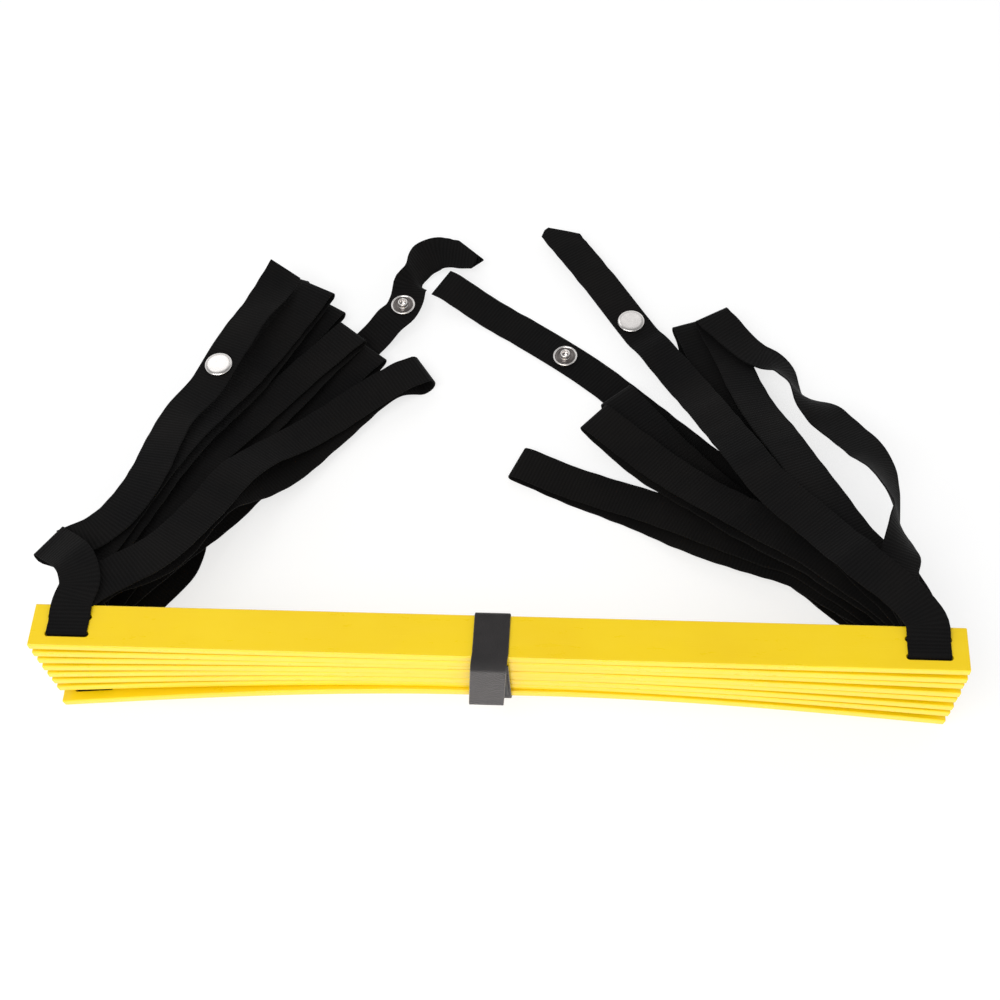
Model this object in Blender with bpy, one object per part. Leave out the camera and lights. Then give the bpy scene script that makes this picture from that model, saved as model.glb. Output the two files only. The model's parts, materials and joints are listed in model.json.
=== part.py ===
"""Agility ladder folded for storage: a stack of flat plastic rungs held by a hook-and-loop band,
with the two side straps looped behind it and a snap fastener near each of the four strap ends.

X runs along the rungs, Y points away from the stack's front towards the loops, Z is up, and the
floor is Z = 0. The sizes below are given from the middle of the stack's footprint. The last
step moves everything so that the origin is under the middle of the whole folded ladder.
"""

import math

import bmesh
import bpy
import numpy as np
from mathutils import Matrix, Vector

# Rungs
rung_count = 8
rung_length = 0.440
rung_width = 0.0223
rung_thickness = 0.0046
rung_edge_radius = 0.0008
rung_corner_steps = 2
rung_stations = 17
rung_fine_steps = 40
contact_gap = 0.0003

# Slots in the rungs: two at each end, side by side, with a bar between them
slot_from_end = 0.018
slot_centre_y = 0.0045
slot_length = 0.0212
slot_width = 0.0030
slot_end_steps = 4
slot_centre_x = rung_length / 2 - slot_from_end

# How the stack is squeezed by the band in the middle and spread by the straps at the ends
flat_half_length = 0.019
end_gaps = [0.0033, 0.0033, 0.0033, 0.0033, 0.0033, 0.0033, 0.0055]
strap_under_tips = 0.00048
rung_shifts = [0.0, -0.0003, 0.0002, -0.0002, 0.0003, 0.0001, 0.0002, -0.0014]
rung_yaws = [0.0, -0.0009, 0.0007, -0.0006, 0.0009, -0.0005, 0.0006, 0.0085]

# Straps
strap_width = 0.020
strap_thickness = 0.0008
strap_gap = 0.0002
strap_step = 0.0085
bend_radius = 0.0008
bend_steps = 3
fold_opening = 0.0036
fold_steps = 4
heap_cell = 0.0020
heap_gap = 0.00045
heap_reach_shares = (0.68, 0.82)
hang_length = 0.085
tip_droop_share = 0.3
fold_height = 0.049
across_samples = 9
between_samples = 4
edge_margin = 0.0012
most_tilt = math.radians(9)
drape_rounds = 10
untwisted = [(0, 0), (2, 0)]

# Snap fasteners
snaps_from_end = {
    ("left", "upper"): 0.079,
    ("left", "lower"): 0.073,
    ("right", "upper"): 0.088,
    ("right", "lower"): 0.088,
}
snap_seat = 0.0165
snap_hole_radius = 0.0019
snap_segments = 20
tail_bend_before_snap = {"upper": 0.037, "lower": 0.020}

snap_cap_radius = 0.0075
snap_cap_rise = 0.0012
snap_post_radius = 0.0015
snap_plate_radius = 0.0069
snap_stud_radius = 0.0028
snap_stud_height = 0.0035
snap_eyelet_radius = 0.0055
snap_socket_radius = 0.0063
snap_socket_height = 0.0030
snap_sheet = 0.0005
spring_wire_radius = 0.0002
spring_ring_radius = 0.00295

# Band round the middle
band_x = 0.0005
band_width = 0.017
band_thickness = 0.0008
band_clearance = 0.0005
band_corner_radius = 0.0016
band_turn_height = 0.0034
band_turn_depth = 0.0042
band_flap_overhang = 0.0012
band_flap_sideways = -0.0038
patch_thickness = 0.0006
patch_length = 0.022
patch_inset = 0.0012

# Plan routes of the strap lengths, as shares of the rung's length from the stack's middle.
# A loop has the point where it folds back, then the points that its upper and its lower run
# pass on the way there from the rungs.
tail_route_shares = {
    ("left", "upper"): [
        (-0.489, 0.115), (-0.46, 0.133), (-0.438, 0.165), (-0.419, 0.217), (-0.404, 0.311),
        (-0.378, 0.366), (-0.361, 0.414), (-0.34, 0.473), (-0.321, 0.52), (-0.306, 0.567),
    ],
    ("left", "lower"): [
        (-0.426, 0.178), (-0.354, 0.274), (-0.285, 0.373), (-0.222, 0.454), (-0.179, 0.499),
        (-0.152, 0.531), (-0.143, 0.581), (-0.12, 0.623), (-0.052, 0.625),
    ],
    ("right", "upper"): [
        (0.43, 0.069), (0.394, 0.106), (0.352, 0.167), (0.303, 0.23), (0.254, 0.326), (0.21, 0.416),
        (0.147, 0.511), (0.1, 0.585), (0.035, 0.683),
    ],
    ("right", "lower"): [
        (0.382, 0.182), (0.314, 0.247), (0.239, 0.316), (0.17, 0.379), (0.115, 0.428), (0.059, 0.472),
        (-0.027, 0.531), (-0.106, 0.577),
    ],
}
# A tail that folds under itself goes to the last of these points first
fold_route_shares = {
    ("left", "upper"): [(-0.455, 0.047), (-0.461, 0.069), (-0.478, 0.091), (-0.505, 0.111)],
}
loop_route_shares = {
    ("left", 1): [
        (-0.125, 0.432),
        [(-0.392, 0.098), (-0.354, 0.169), (-0.307, 0.266), (-0.243, 0.336), (-0.183, 0.39)],
        [(-0.384, 0.11), (-0.342, 0.199), (-0.283, 0.266), (-0.231, 0.333), (-0.18, 0.392)],
    ],
    ("left", 2): [
        (-0.264, 0.547),
        [(-0.463, 0.088), (-0.433, 0.176), (-0.388, 0.298), (-0.331, 0.416)],
        [(-0.456, 0.09), (-0.425, 0.178), (-0.381, 0.3), (-0.326, 0.416)],
    ],
    ("left", 3): [
        (-0.214, 0.482),
        [(-0.452, 0.089), (-0.412, 0.171), (-0.359, 0.288), (-0.294, 0.39)],
        [(-0.452, 0.088), (-0.409, 0.172), (-0.351, 0.282), (-0.282, 0.387)],
    ],
    ("left", 4): [
        (-0.307, 0.574),
        [(-0.472, 0.105), (-0.446, 0.201), (-0.406, 0.323), (-0.354, 0.439)],
        [(-0.472, 0.104), (-0.442, 0.201), (-0.401, 0.323), (-0.348, 0.437)],
    ],
    ("left", 5): [
        (-0.188, 0.462),
        [(-0.401, 0.182), (-0.333, 0.288), (-0.257, 0.382)],
        [(-0.377, 0.176), (-0.308, 0.281), (-0.243, 0.38)],
    ],
    ("left", 6): [
        (-0.25, 0.533),
        [(-0.439, 0.206), (-0.388, 0.313), (-0.323, 0.421)],
        [(-0.429, 0.205), (-0.376, 0.31), (-0.312, 0.419)],
    ],
    ("left", 7): [
        (-0.287, 0.521),
        [(-0.433, 0.169), (-0.401, 0.261), (-0.35, 0.391)],
        [(-0.392, 0.143), (-0.385, 0.199), (-0.366, 0.294), (-0.328, 0.409)],
    ],
    ("right", 1): [
        (0.248, 0.514),
        [(0.434, 0.079), (0.441, 0.122), (0.442, 0.174), (0.431, 0.263), (0.393, 0.335),
         (0.35, 0.401), (0.329, 0.442), (0.293, 0.463)],
        [(0.435, 0.099), (0.402, 0.141), (0.369, 0.204), (0.334, 0.278), (0.296, 0.371), (0.27, 0.454)],
    ],
    ("right", 2): [
        (0.22, 0.51),
        [(0.439, 0.085), (0.396, 0.14), (0.347, 0.219), (0.296, 0.329), (0.249, 0.437)],
        [(0.389, 0.14), (0.338, 0.22), (0.288, 0.333), (0.242, 0.437)],
    ],
    ("right", 3): [
        (0.103, 0.356),
        [(0.37, 0.134), (0.296, 0.192), (0.217, 0.259), (0.158, 0.31)],
        [(0.369, 0.131), (0.294, 0.187), (0.22, 0.253), (0.158, 0.304)],
    ],
    ("right", 4): [
        (0.241, 0.497),
        [(0.393, 0.152), (0.341, 0.231), (0.294, 0.335)],
        [(0.387, 0.151), (0.334, 0.232), (0.287, 0.336)],
    ],
    ("right", 5): [
        (0.011, 0.305),
        [(0.361, 0.141), (0.295, 0.178), (0.229, 0.212), (0.159, 0.248), (0.073, 0.28)],
        [(0.355, 0.136), (0.293, 0.169), (0.227, 0.198), (0.157, 0.239), (0.076, 0.274)],
    ],
    ("right", 6): [
        (0.132, 0.395),
        [(0.364, 0.159), (0.291, 0.227), (0.214, 0.302)],
        [(0.358, 0.157), (0.284, 0.225), (0.211, 0.3)],
    ],
    ("right", 7): [
        (0.164, 0.352),
        [(0.376, 0.141), (0.307, 0.206), (0.231, 0.278)],
        [(0.372, 0.138), (0.299, 0.201), (0.226, 0.272)],
    ],
}

# Where a run twists: its progress from the rungs, then the twist there in degrees. A loop's run has
# gone its whole length at 1. A tail has come to its snap at 1, and to its free end at 2.
twists = {
    ("left", "tail", "upper"): [(0.00, 0), (1.55, 0), (2.00, 42)],
    ("left", "tail", "lower"): [(0.00, 0), (1.21, 0), (1.31, 74), (1.46, 46), (1.75, 8), (2.00, 0)],
    ("right", "loop", 1): [
        (0.00, 0), (0.17, 10), (0.28, 76), (0.37, 50), (0.48, 8), (0.63, 0), (0.73, 66), (0.84, 10),
        (1.00, 0),
    ],
}
# Runs that come down more slowly than the others, and the length in which they do
slow_hang_lengths = {
    ("right", "loop", 1): 0.25,
    ("left", "fold", "upper"): 0.135,
}

yellow = (0.93, 0.68, 0.008, 1.0)
black = (0.012, 0.012, 0.013, 1.0)
charcoal = (0.045, 0.042, 0.045, 1.0)
nickel = (0.72, 0.70, 0.67, 1.0)


def clear_scene():
    for found in list(bpy.data.objects):
        bpy.data.objects.remove(found, do_unlink=True)


def principled(name, colour, roughness, metallic=0.0):
    material = bpy.data.materials.new(name)
    material.use_nodes = True
    shader = material.node_tree.nodes["Principled BSDF"]
    shader.inputs["Base Color"].default_value = colour
    shader.inputs["Roughness"].default_value = roughness
    shader.inputs["Metallic"].default_value = metallic
    material.diffuse_color = colour
    return material


def make_materials():
    return {
        "rung": principled("rung_plastic", yellow, 0.28),
        "strap": principled("strap_webbing", black, 0.9),
        "band": principled("band_fabric", charcoal, 0.85),
        "patch": principled("patch_fabric", black, 0.95),
        "snap": principled("snap_nickel", nickel, 0.22, 1.0),
    }


def add_object(name, points, faces, material, matrix=None, smooth=False):
    """An object whose mesh is given in the frame of its matrix."""
    mesh = bpy.data.meshes.new(name)
    mesh.from_pydata([tuple(p) for p in points], [], faces)
    work = bmesh.new()
    work.from_mesh(mesh)
    bmesh.ops.recalc_face_normals(work, faces=work.faces)
    work.to_mesh(mesh)
    work.free()
    if smooth:
        mesh.shade_smooth()
        mesh.set_sharp_from_angle(angle=math.radians(35))
    mesh.materials.append(material)
    made = bpy.data.objects.new(name, mesh)
    bpy.context.scene.collection.objects.link(made)
    if matrix is not None:
        made.matrix_world = matrix
    return made


def cut(made, cutter):
    cutter.hide_render = True
    cutter.display_type = "WIRE"
    modifier = made.modifiers.new("cut_" + cutter.name, "BOOLEAN")
    modifier.operation = "DIFFERENCE"
    modifier.solver = "EXACT"
    modifier.object = cutter


def loft(sections):
    """Points and faces of a closed body through rings of equal count, with flat ends."""
    count = len(sections[0])
    points = [p for section in sections for p in section]
    faces = [tuple(range(count))]
    for ring in range(len(sections) - 1):
        start = ring * count
        for i in range(count):
            j = (i + 1) % count
            faces.append((start + i, start + j, start + count + j, start + count + i))
    last = (len(sections) - 1) * count
    faces.append(tuple(last + i for i in reversed(range(count))))
    return points, faces


# The stack's shape

def bow_share(x):
    """How far the stack has spread at x: none by the band, and all at the rungs' ends."""
    free = rung_length / 2 - flat_half_length
    s = min(max((abs(x - band_x) - flat_half_length) / free, 0.0), 1.0)
    return s * s * (3 - s) / 2


def gap_below(index, x):
    return contact_gap + (end_gaps[index] - contact_gap) * bow_share(x)


def stack_height():
    """The bottom rung's tips stay clear of the floor, because the straps pass under them."""
    return rung_count * rung_thickness + sum(end_gaps) + strap_under_tips


def middle_height(index, x):
    """Height of the middle of a rung's thickness at x."""
    above = sum(rung_thickness + gap_below(i, x) for i in range(index))
    return stack_height() - rung_thickness / 2 - above


def rung_slope(index, x):
    step = 0.25 * contact_gap
    return (middle_height(index, x + step) - middle_height(index, x - step)) / (2 * step)


def rung_centreline(index):
    """Points (x, z) along the bent rung, spaced by its own length."""
    side = []
    steps = rung_fine_steps * (rung_stations // 2)
    for sign in (-1, 1):
        x = 0.0
        length = rung_length / 2 / steps
        points = [(x, middle_height(index, x))]
        for _ in range(steps):
            x += sign * length * math.cos(math.atan(rung_slope(index, x)))
            points.append((x, middle_height(index, x)))
        side.append(points[::rung_fine_steps])
    return side[0][:0:-1] + side[1]


def rung_outline():
    """The rung's section (y, z): a flat bar with rounded edges."""
    points = []
    half_width = rung_width / 2 - rung_edge_radius
    half_thickness = rung_thickness / 2 - rung_edge_radius
    for corner in range(4):
        y = half_width if corner in (0, 3) else -half_width
        z = half_thickness if corner in (0, 1) else -half_thickness
        for step in range(rung_corner_steps + 1):
            angle = math.pi / 2 * (corner + step / rung_corner_steps)
            points.append((y + rung_edge_radius * math.cos(angle), z + rung_edge_radius * math.sin(angle)))
    return points


def rung_placement(index):
    """The rung lies turned a little about the band, and shifted a little across the stack."""
    turn = Matrix.Rotation(rung_yaws[index], 4, "Z")
    return Matrix.Translation((band_x, 0, 0)) @ turn @ Matrix.Translation((-band_x, rung_shifts[index], 0))


def slot_frame(index, side):
    """Axes at a rung's slots: X along the rung, Y across the stack, Z through its thickness."""
    x = slot_centre_x if side == "right" else -slot_centre_x
    slope = math.atan(rung_slope(index, x))
    tilt = Matrix.Rotation(-slope, 4, "Y")
    return rung_placement(index) @ Matrix.Translation((x, 0, middle_height(index, x))) @ tilt


def make_slot_cutter(name, frame, y):
    half = slot_length / 2 - slot_width / 2
    outline = []
    for centre, start in ((half, -math.pi / 2), (-half, math.pi / 2)):
        for step in range(slot_end_steps + 1):
            angle = start + math.pi * step / slot_end_steps
            outline.append((centre + slot_width / 2 * math.cos(angle), y + slot_width / 2 * math.sin(angle)))
    ends = (-rung_thickness, rung_thickness)
    sections = [[frame @ Vector((px, py, pz)) for px, py in outline] for pz in ends]
    return add_object(name, *loft(sections), None)


def make_rung(index, material):
    line = rung_centreline(index)
    if index == 0:
        line = [line[0], line[-1]]
    pivot = Matrix.Translation((band_x, 0, 0)) @ Matrix.Rotation(rung_yaws[index], 4, "Z")
    sections = []
    for x, z in line:
        slope = math.atan(rung_slope(index, x))
        section = []
        for y, rise in rung_outline():
            along = x - band_x - rise * math.sin(slope)
            section.append((along, y + rung_shifts[index], z + rise * math.cos(slope)))
        sections.append(section)
    rung = add_object(f"rung_{index + 1}", *loft(sections), material, pivot, smooth=True)
    for side in ("left", "right"):
        for place, y in (("front", -slot_centre_y), ("back", slot_centre_y)):
            cut(rung, make_slot_cutter(f"slot_{index + 1}_{side}_{place}", slot_frame(index, side), y))
    return rung


# The straps near the rungs: paths (y, z) in a slot frame

def arc(centre, radius, start, end):
    angles = [start + (end - start) * i / bend_steps for i in range(bend_steps + 1)]
    return [(centre[0] + radius * math.cos(a), centre[1] + radius * math.sin(a)) for a in angles]


def level_above(layer):
    """Height of a strap's middle over the rung's middle, for the first or the second layer on it."""
    return rung_thickness / 2 + (layer + 1) * strap_gap + (layer + 0.5) * strap_thickness


def path_out():
    """From inside the back slot up and out over the rung's back edge."""
    top = level_above(0)
    turn = (slot_centre_y + bend_radius, top - bend_radius)
    out = (rung_width / 2 + strap_thickness, top)
    return [(slot_centre_y, strap_gap / 2)] + arc(turn, bend_radius, math.pi, math.pi / 2) + [out]


def path_in():
    """In over the back edge and the outgoing layer, down the front slot, under the bar and
    up into the back slot."""
    top = level_above(0)
    second = level_above(1)
    radius = bend_radius
    drop_from = slot_centre_y + radius + strap_gap
    drop_to = slot_centre_y - 1.5 * strap_thickness - 2 * strap_gap
    start = [(rung_width / 2 + strap_thickness, second), (drop_from, second), (drop_to, top)]
    into_front = arc((-slot_centre_y + radius, top - radius), radius, math.pi / 2, math.pi)
    under_front = arc((-slot_centre_y + radius, radius - top), radius, math.pi, 1.5 * math.pi)
    under_back = arc((slot_centre_y - radius, radius - top), radius, -math.pi / 2, 0)
    return start + into_front + under_front + under_back + [(slot_centre_y, -strap_gap / 2)]


def on_rung(index, side, path):
    """Stations (point, across) of a path on a rung."""
    frame = slot_frame(index, side)
    across = -(frame.to_3x3() @ Vector((1, 0, 0)))
    return [(frame @ Vector((0, y, z)), across) for y, z in path]


# The straps behind the stack: each run is laid on those below it

def smooth_route(points, heading):
    """Points at even steps along a smooth curve through the given ones. It sets out between its
    heading and straight at the second point."""
    first = np.linalg.norm(points[1] - points[0])
    padded = [points[0] - heading * first] + list(points) + [2 * points[-1] - points[-2]]
    dense = []
    for a, b, c, d in zip(padded, padded[1:], padded[2:], padded[3:]):
        square, cube = 2 * a - 5 * b + 4 * c - d, 3 * b - a - 3 * c + d
        for t in np.linspace(0, 1, 24, endpoint=False):
            dense.append(0.5 * (2 * b + (c - a) * t + square * t**2 + cube * t**3))
    dense = np.array(dense + [points[-1]])
    lengths = np.concatenate([[0], np.cumsum(np.linalg.norm(np.diff(dense, axis=0), axis=1))])
    count = max(4, round(lengths[-1] / strap_step))
    even = np.linspace(0, lengths[-1], count + 1)
    return np.column_stack([np.interp(even, lengths, dense[:, i]) for i in range(2)])


def eased(values):
    """Each value drawn halfway to its neighbours' mean."""
    middle = 0.25 * values[:-2] + 0.5 * values[1:-1] + 0.25 * values[2:]
    return np.concatenate([values[:1], middle, values[-1:]])


def draped(height, needed):
    """The height of a stiff strap that hangs as given, and spans the hollows between what it
    has to clear."""
    height = np.maximum(height, needed)
    for _ in range(drape_rounds):
        height = np.maximum(eased(height), needed)
    return height


def new_heap():
    """Heights of what lies behind the stack. It starts a gap under the floor, so that the first
    strap lies on the floor itself."""
    half, depth = (round(share * rung_length / heap_cell) for share in heap_reach_shares)
    return np.full((2 * half, depth), -heap_gap)


def heap_cells(heap, plan):
    i = np.clip((plan[..., 0] / heap_cell + heap.shape[0] // 2).astype(int), 1, heap.shape[0] - 2)
    j = np.clip((plan[..., 1] / heap_cell).astype(int), 1, heap.shape[1] - 2)
    return i, j


def heap_height(heap, plan):
    return heap[heap_cells(heap, plan)]


def raise_heap(heap, plan, tops):
    i, j = heap_cells(heap, plan)
    for di in (-1, 0, 1):
        for dj in (-1, 0, 1):
            np.maximum.at(heap, (i + di, j + dj), tops)


def lateral_of(route):
    along = np.gradient(route, axis=0)
    along /= np.linalg.norm(along, axis=1)[:, None]
    return along, np.column_stack([-along[:, 1], along[:, 0]])


def between(values, share):
    """Values a share of the way from each station to the next."""
    return values[:-1] * (1 - share) + values[1:] * share


def progress_of(walked, snap_from_end):
    """How far each station has gone, as the twists count it."""
    if snap_from_end is None:
        return walked / walked[-1]
    snap = walked[-1] - snap_from_end
    return np.where(walked < snap, walked / snap, 1 + (walked - snap) / snap_from_end)


def run_rolls(heap, route, lateral, walked, slope, twist, snap_from_end):
    """The strap's roll at each station: the rung's slope at first, then the heap's and its twist."""
    reach = 0.35 * strap_width
    left = heap_height(heap, route + reach * lateral)
    right = heap_height(heap, route - reach * lateral)
    tilt = np.clip(0.6 * np.arctan2(left - right, 2 * reach), -most_tilt, most_tilt)
    from_end = walked[-1] - walked
    if snap_from_end is None:
        tilt *= np.clip(from_end / (3 * strap_step), 0, 1)
    else:
        tilt[np.abs(from_end - snap_from_end) < snap_seat + 2 * strap_step] = 0
    turned = np.radians(np.interp(progress_of(walked, snap_from_end), *zip(*twist)))
    near = np.clip(walked / (5 * strap_step), 0, 1)
    near = near * near * (3 - 2 * near)
    return slope * (1 - near) + (eased(eased(tilt)) + turned) * near


def heights_needed(heap, route, lateral, roll, lifts):
    """The least height of the strap's middle at each station that clears the heap under it."""
    needed = np.full(len(route), strap_thickness / 2)
    half = strap_width / 2 + edge_margin
    for share in np.linspace(0, 1, between_samples, endpoint=False):
        middle, sideways, rolls, lifted = (between(v, share) for v in (route, lateral, roll, lifts))
        for u in np.linspace(-half, half, across_samples):
            plan = middle + u * np.cos(rolls)[:, None] * sideways
            over = heap_height(heap, plan) - u * np.sin(rolls) + lifted + heap_gap + strap_thickness / 2
            needed[:-1] = np.maximum(needed[:-1], over)
            needed[1:] = np.maximum(needed[1:], over)
    return needed


def mark_heap(heap, route, lateral, roll, height):
    half = strap_width / 2
    for share in np.linspace(0, 1, 2 * between_samples, endpoint=False):
        middle, sideways, rolls, heights = (between(v, share) for v in (route, lateral, roll, height))
        for u in np.linspace(-half, half, 2 * across_samples):
            plan = middle + u * np.cos(rolls)[:, None] * sideways
            raise_heap(heap, plan, heights + u * np.sin(rolls) + strap_thickness / 2)


def lay_run(heap, start, slope, shares, lift, key, snap_from_end=None, heading=(0, 1)):
    """One run of strap from the stack's back edge, or from a fold, laid on the heap.

    start is its first point and slope the rung's, shares its route, and lift(distances from the
    far end) the height that the run must keep over the heap. The key finds its twist. A tail is
    level under its snap and stiff past it, and another run is level at its far end, where it
    folds. Returns the run's points, directions, laterals and rolls, and marks the heap.
    """
    route = [np.array(start[:2])] + [np.array(p) * rung_length for p in shares]
    route = smooth_route(route, np.array(heading))
    along, lateral = lateral_of(route)
    walked = np.concatenate([[0], np.cumsum(np.linalg.norm(np.diff(route, axis=0), axis=1))])
    from_end = walked[-1] - walked
    roll = run_rolls(heap, route, lateral, walked, slope, twists.get(key, untwisted), snap_from_end)
    needed = heights_needed(heap, route, lateral, roll, lift(from_end))
    seat = np.abs(from_end - (snap_from_end or -snap_seat)) < snap_seat
    needed[seat] = needed[seat].max(initial=0)
    fall = np.clip(walked / slow_hang_lengths.get(key, hang_length), 0, 1)
    height = draped(start[2] * (1 - fall * fall * (3 - 2 * fall)), needed)
    height[seat] = height[seat].max(initial=0)
    if snap_from_end is not None:
        past = np.clip(1 - from_end / snap_from_end, 0, 1)
        stiff = height[seat].max() * (1 - tip_droop_share * past * past)
        height[past > 0] = np.maximum(height, stiff)[past > 0]
    height[0] = start[2]
    mark_heap(heap, route, lateral, roll, height)
    if snap_from_end is None:
        raise_heap(heap, route[-1] + along[-1] * fold_opening, height[-1] + strap_thickness / 2)
    return np.column_stack([route, height]), along, lateral, roll


def run_stations(run):
    """Stations (point, across) of a laid run, from the rungs outwards."""
    points, along, lateral, roll = run
    found = []
    for point, side, angle in zip(points, lateral, roll):
        across = Vector((side[0] * math.cos(angle), side[1] * math.cos(angle), math.sin(angle)))
        found.append((Vector(point), across))
    return found


def fold_stations(top, bottom, forward):
    """The half turn that joins two runs, from the point on the upper one to that on the lower
    one. Forward is where it bulges."""
    forward = Vector((*forward, 0)).normalized()
    middle = (top + bottom) / 2
    radius = (top.z - bottom.z) / 2
    across = Vector((-forward.y, forward.x, 0))
    stations = []
    for step in range(1, fold_steps):
        angle = math.pi * step / fold_steps
        rise = Vector((0, 0, radius * math.cos(angle)))
        stations.append((middle + forward * radius * math.sin(angle) + rise, across))
    return stations


def loop_line(runs):
    """Stations of a loop behind the stack, out along its upper run and back along its lower."""
    upper, lower = runs
    fold = fold_stations(Vector(upper[0][-1]), Vector(lower[0][-1]), upper[1][-1] + lower[1][-1])
    return run_stations(upper)[1:] + fold + run_stations(lower)[:0:-1]


def tail_line(held, runs):
    """Stations of a tail, from those held in the rung to its free end. A tail of two runs folds
    under itself between them, so that its sides change places."""
    stations = held + run_stations(runs[0])[1:]
    if len(runs) == 1:
        return stations
    first, tail = runs
    fold = fold_stations(Vector(first[0][-1]), Vector(tail[0][0]), first[1][-1])
    return [(point, -across) for point, across in stations + fold] + run_stations(tail)


def split_alike(quads):
    """A strap's sides as triangles. Its two wide sides are split along the same diagonal, so that
    it keeps its thickness where it twists."""
    halves = []
    for n, quad in enumerate(quads):
        a, b, c, d = quad if n % 4 != 2 else quad[1:] + quad[:1]
        halves += [(a, b, c), (a, c, d)]
    return halves


def ribbon(stations):
    """Points and faces of a flat strap through stations (point, across)."""
    points = [p for p, _ in stations]
    sections = []
    for i, (point, across) in enumerate(stations):
        before = points[max(i - 1, 0)]
        after = points[min(i + 1, len(points) - 1)]
        first = (point - before).normalized() if i else (after - point).normalized()
        second = (after - point).normalized() if i < len(points) - 1 else first
        along = (first + second).normalized()
        normal = along.cross(across).normalized()
        stretch = 1 / max(0.5, first.dot(along))
        side = across * strap_width / 2
        thick = normal * strap_thickness / 2 * stretch
        top = [point + side + thick, point - side + thick]
        sections.append(top + [point - side - thick, point + side - thick])
    points, faces = loft(sections)
    return points, [faces[0]] + split_alike(faces[1:-1]) + [faces[-1]]


def slope_roll(index, side):
    x = slot_centre_x if side == "right" else -slot_centre_x
    return -math.atan(rung_slope(index, x))


def no_lift(from_end):
    return np.zeros(len(from_end))


def fold_lift(from_end):
    near = np.clip(1 - from_end / (3 * strap_step), 0, 1)
    return (fold_opening - strap_thickness) * near


def snap_lift(snap_from_end, height):
    """A lift that lets a tail clear the heap by what its snap has under it."""
    def lift(from_end):
        away = np.abs(from_end - snap_from_end)
        return (height + contact_gap) * np.clip(2.5 - away / (1.3 * strap_step), 0, 1)

    return lift


def tail_frame(stations, from_end):
    """Axes at a point of a tail: X towards its free end, Y across it, Z up out of its face."""
    walked = 0.0
    for (point, across), (inner, _) in zip(stations[::-1], stations[-2::-1]):
        step = (point - inner).length
        if walked + step >= from_end:
            share = (from_end - walked) / step
            along = (point - inner).normalized()
            place = point.lerp(inner, share)
            up = along.cross(across).normalized()
            side = up.cross(along)
            turn = Matrix((along, side, up)).transposed().to_4x4()
            return Matrix.Translation(place) @ turn
        walked += step
    raise ValueError("the tail is too short")


def mark_stud(heap, run, snap_from_end):
    """Marks the stud on a lower tail, so that the loops over it stay clear of it."""
    frame = tail_frame(run_stations(run), snap_from_end)
    top = frame.translation.z + strap_thickness / 2 + contact_gap + snap_stud_height
    for radius in np.linspace(0, snap_plate_radius, across_samples):
        for angle in np.linspace(0, 2 * math.pi, snap_segments):
            spot = frame @ Vector((radius * math.cos(angle), radius * math.sin(angle), 0))
            raise_heap(heap, np.array(spot[:2]), top)


def lay_side(heap, side):
    """Lays one side strap's runs from the bottom of the heap to its top."""
    bottom = rung_count - 1
    out = on_rung(bottom, side, path_out())[-1][0]
    shares = tail_route_shares[side, "lower"]
    snap = snaps_from_end[side, "lower"]
    lift = snap_lift(snap, snap_sheet)
    tail = lay_run(heap, out, slope_roll(bottom, side), shares, lift, (side, "tail", "lower"), snap)
    mark_stud(heap, tail, snap)
    runs = {"tail_lower": [tail]}
    for loop in range(bottom, 0, -1):
        end, upper_shares, lower_shares = loop_route_shares[side, loop]
        back = on_rung(loop, side, path_in())[0][0]
        out = on_rung(loop - 1, side, path_out())[-1][0]
        lower = lay_run(heap, back, slope_roll(loop, side), lower_shares + [end], no_lift, None)
        key = (side, "loop", loop)
        upper = lay_run(heap, out, slope_roll(loop - 1, side), upper_shares + [end], fold_lift, key)
        runs[f"loop_{loop}"] = [upper, lower]
    runs["tail_upper"] = lay_upper_tail(heap, side)
    return runs


def lay_upper_tail(heap, side):
    """The upper tail. Where it folds under itself, its run from the rung lies on the other one."""
    start, slope = on_rung(0, side, path_in())[0][0], slope_roll(0, side)
    shares = tail_route_shares[side, "upper"]
    snap = snaps_from_end[side, "upper"]
    lift = snap_lift(snap, snap_socket_height)
    key = (side, "tail", "upper")
    if (side, "upper") not in fold_route_shares:
        return [lay_run(heap, start, slope, shares, lift, key, snap)]
    to_fold = fold_route_shares[side, "upper"]
    before, fold = (np.array(place) * rung_length for place in to_fold[-2:])
    back = (before - fold) / np.linalg.norm(before - fold)
    tail = lay_run(heap, (*fold, fold_height), 0.0, shares, lift, key, snap, back)
    first = lay_run(heap, start, slope, to_fold, fold_lift, (side, "fold", "upper"))
    return [first, tail]


def make_straps(side, runs, material):
    """The side strap, as the lengths between the rungs and the two tails."""
    pivot = Matrix.Translation((band_x, 0, 0))
    straps = {}
    for name, laid in runs.items():
        if name == "tail_upper":
            stations = tail_line(on_rung(0, side, path_in())[::-1], laid)
        elif name == "tail_lower":
            stations = tail_line(on_rung(rung_count - 1, side, path_out()), laid)
        else:
            loop = int(name.split("_")[1])
            stations = on_rung(loop - 1, side, path_out()) + loop_line(laid)
            stations += on_rung(loop, side, path_in())
        stations = [(point - Vector((band_x, 0, 0)), across) for point, across in stations]
        straps[name] = add_object(f"strap_{side}_{name}", *ribbon(stations), material, pivot, smooth=True)
    return straps


# Snap fasteners

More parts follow.
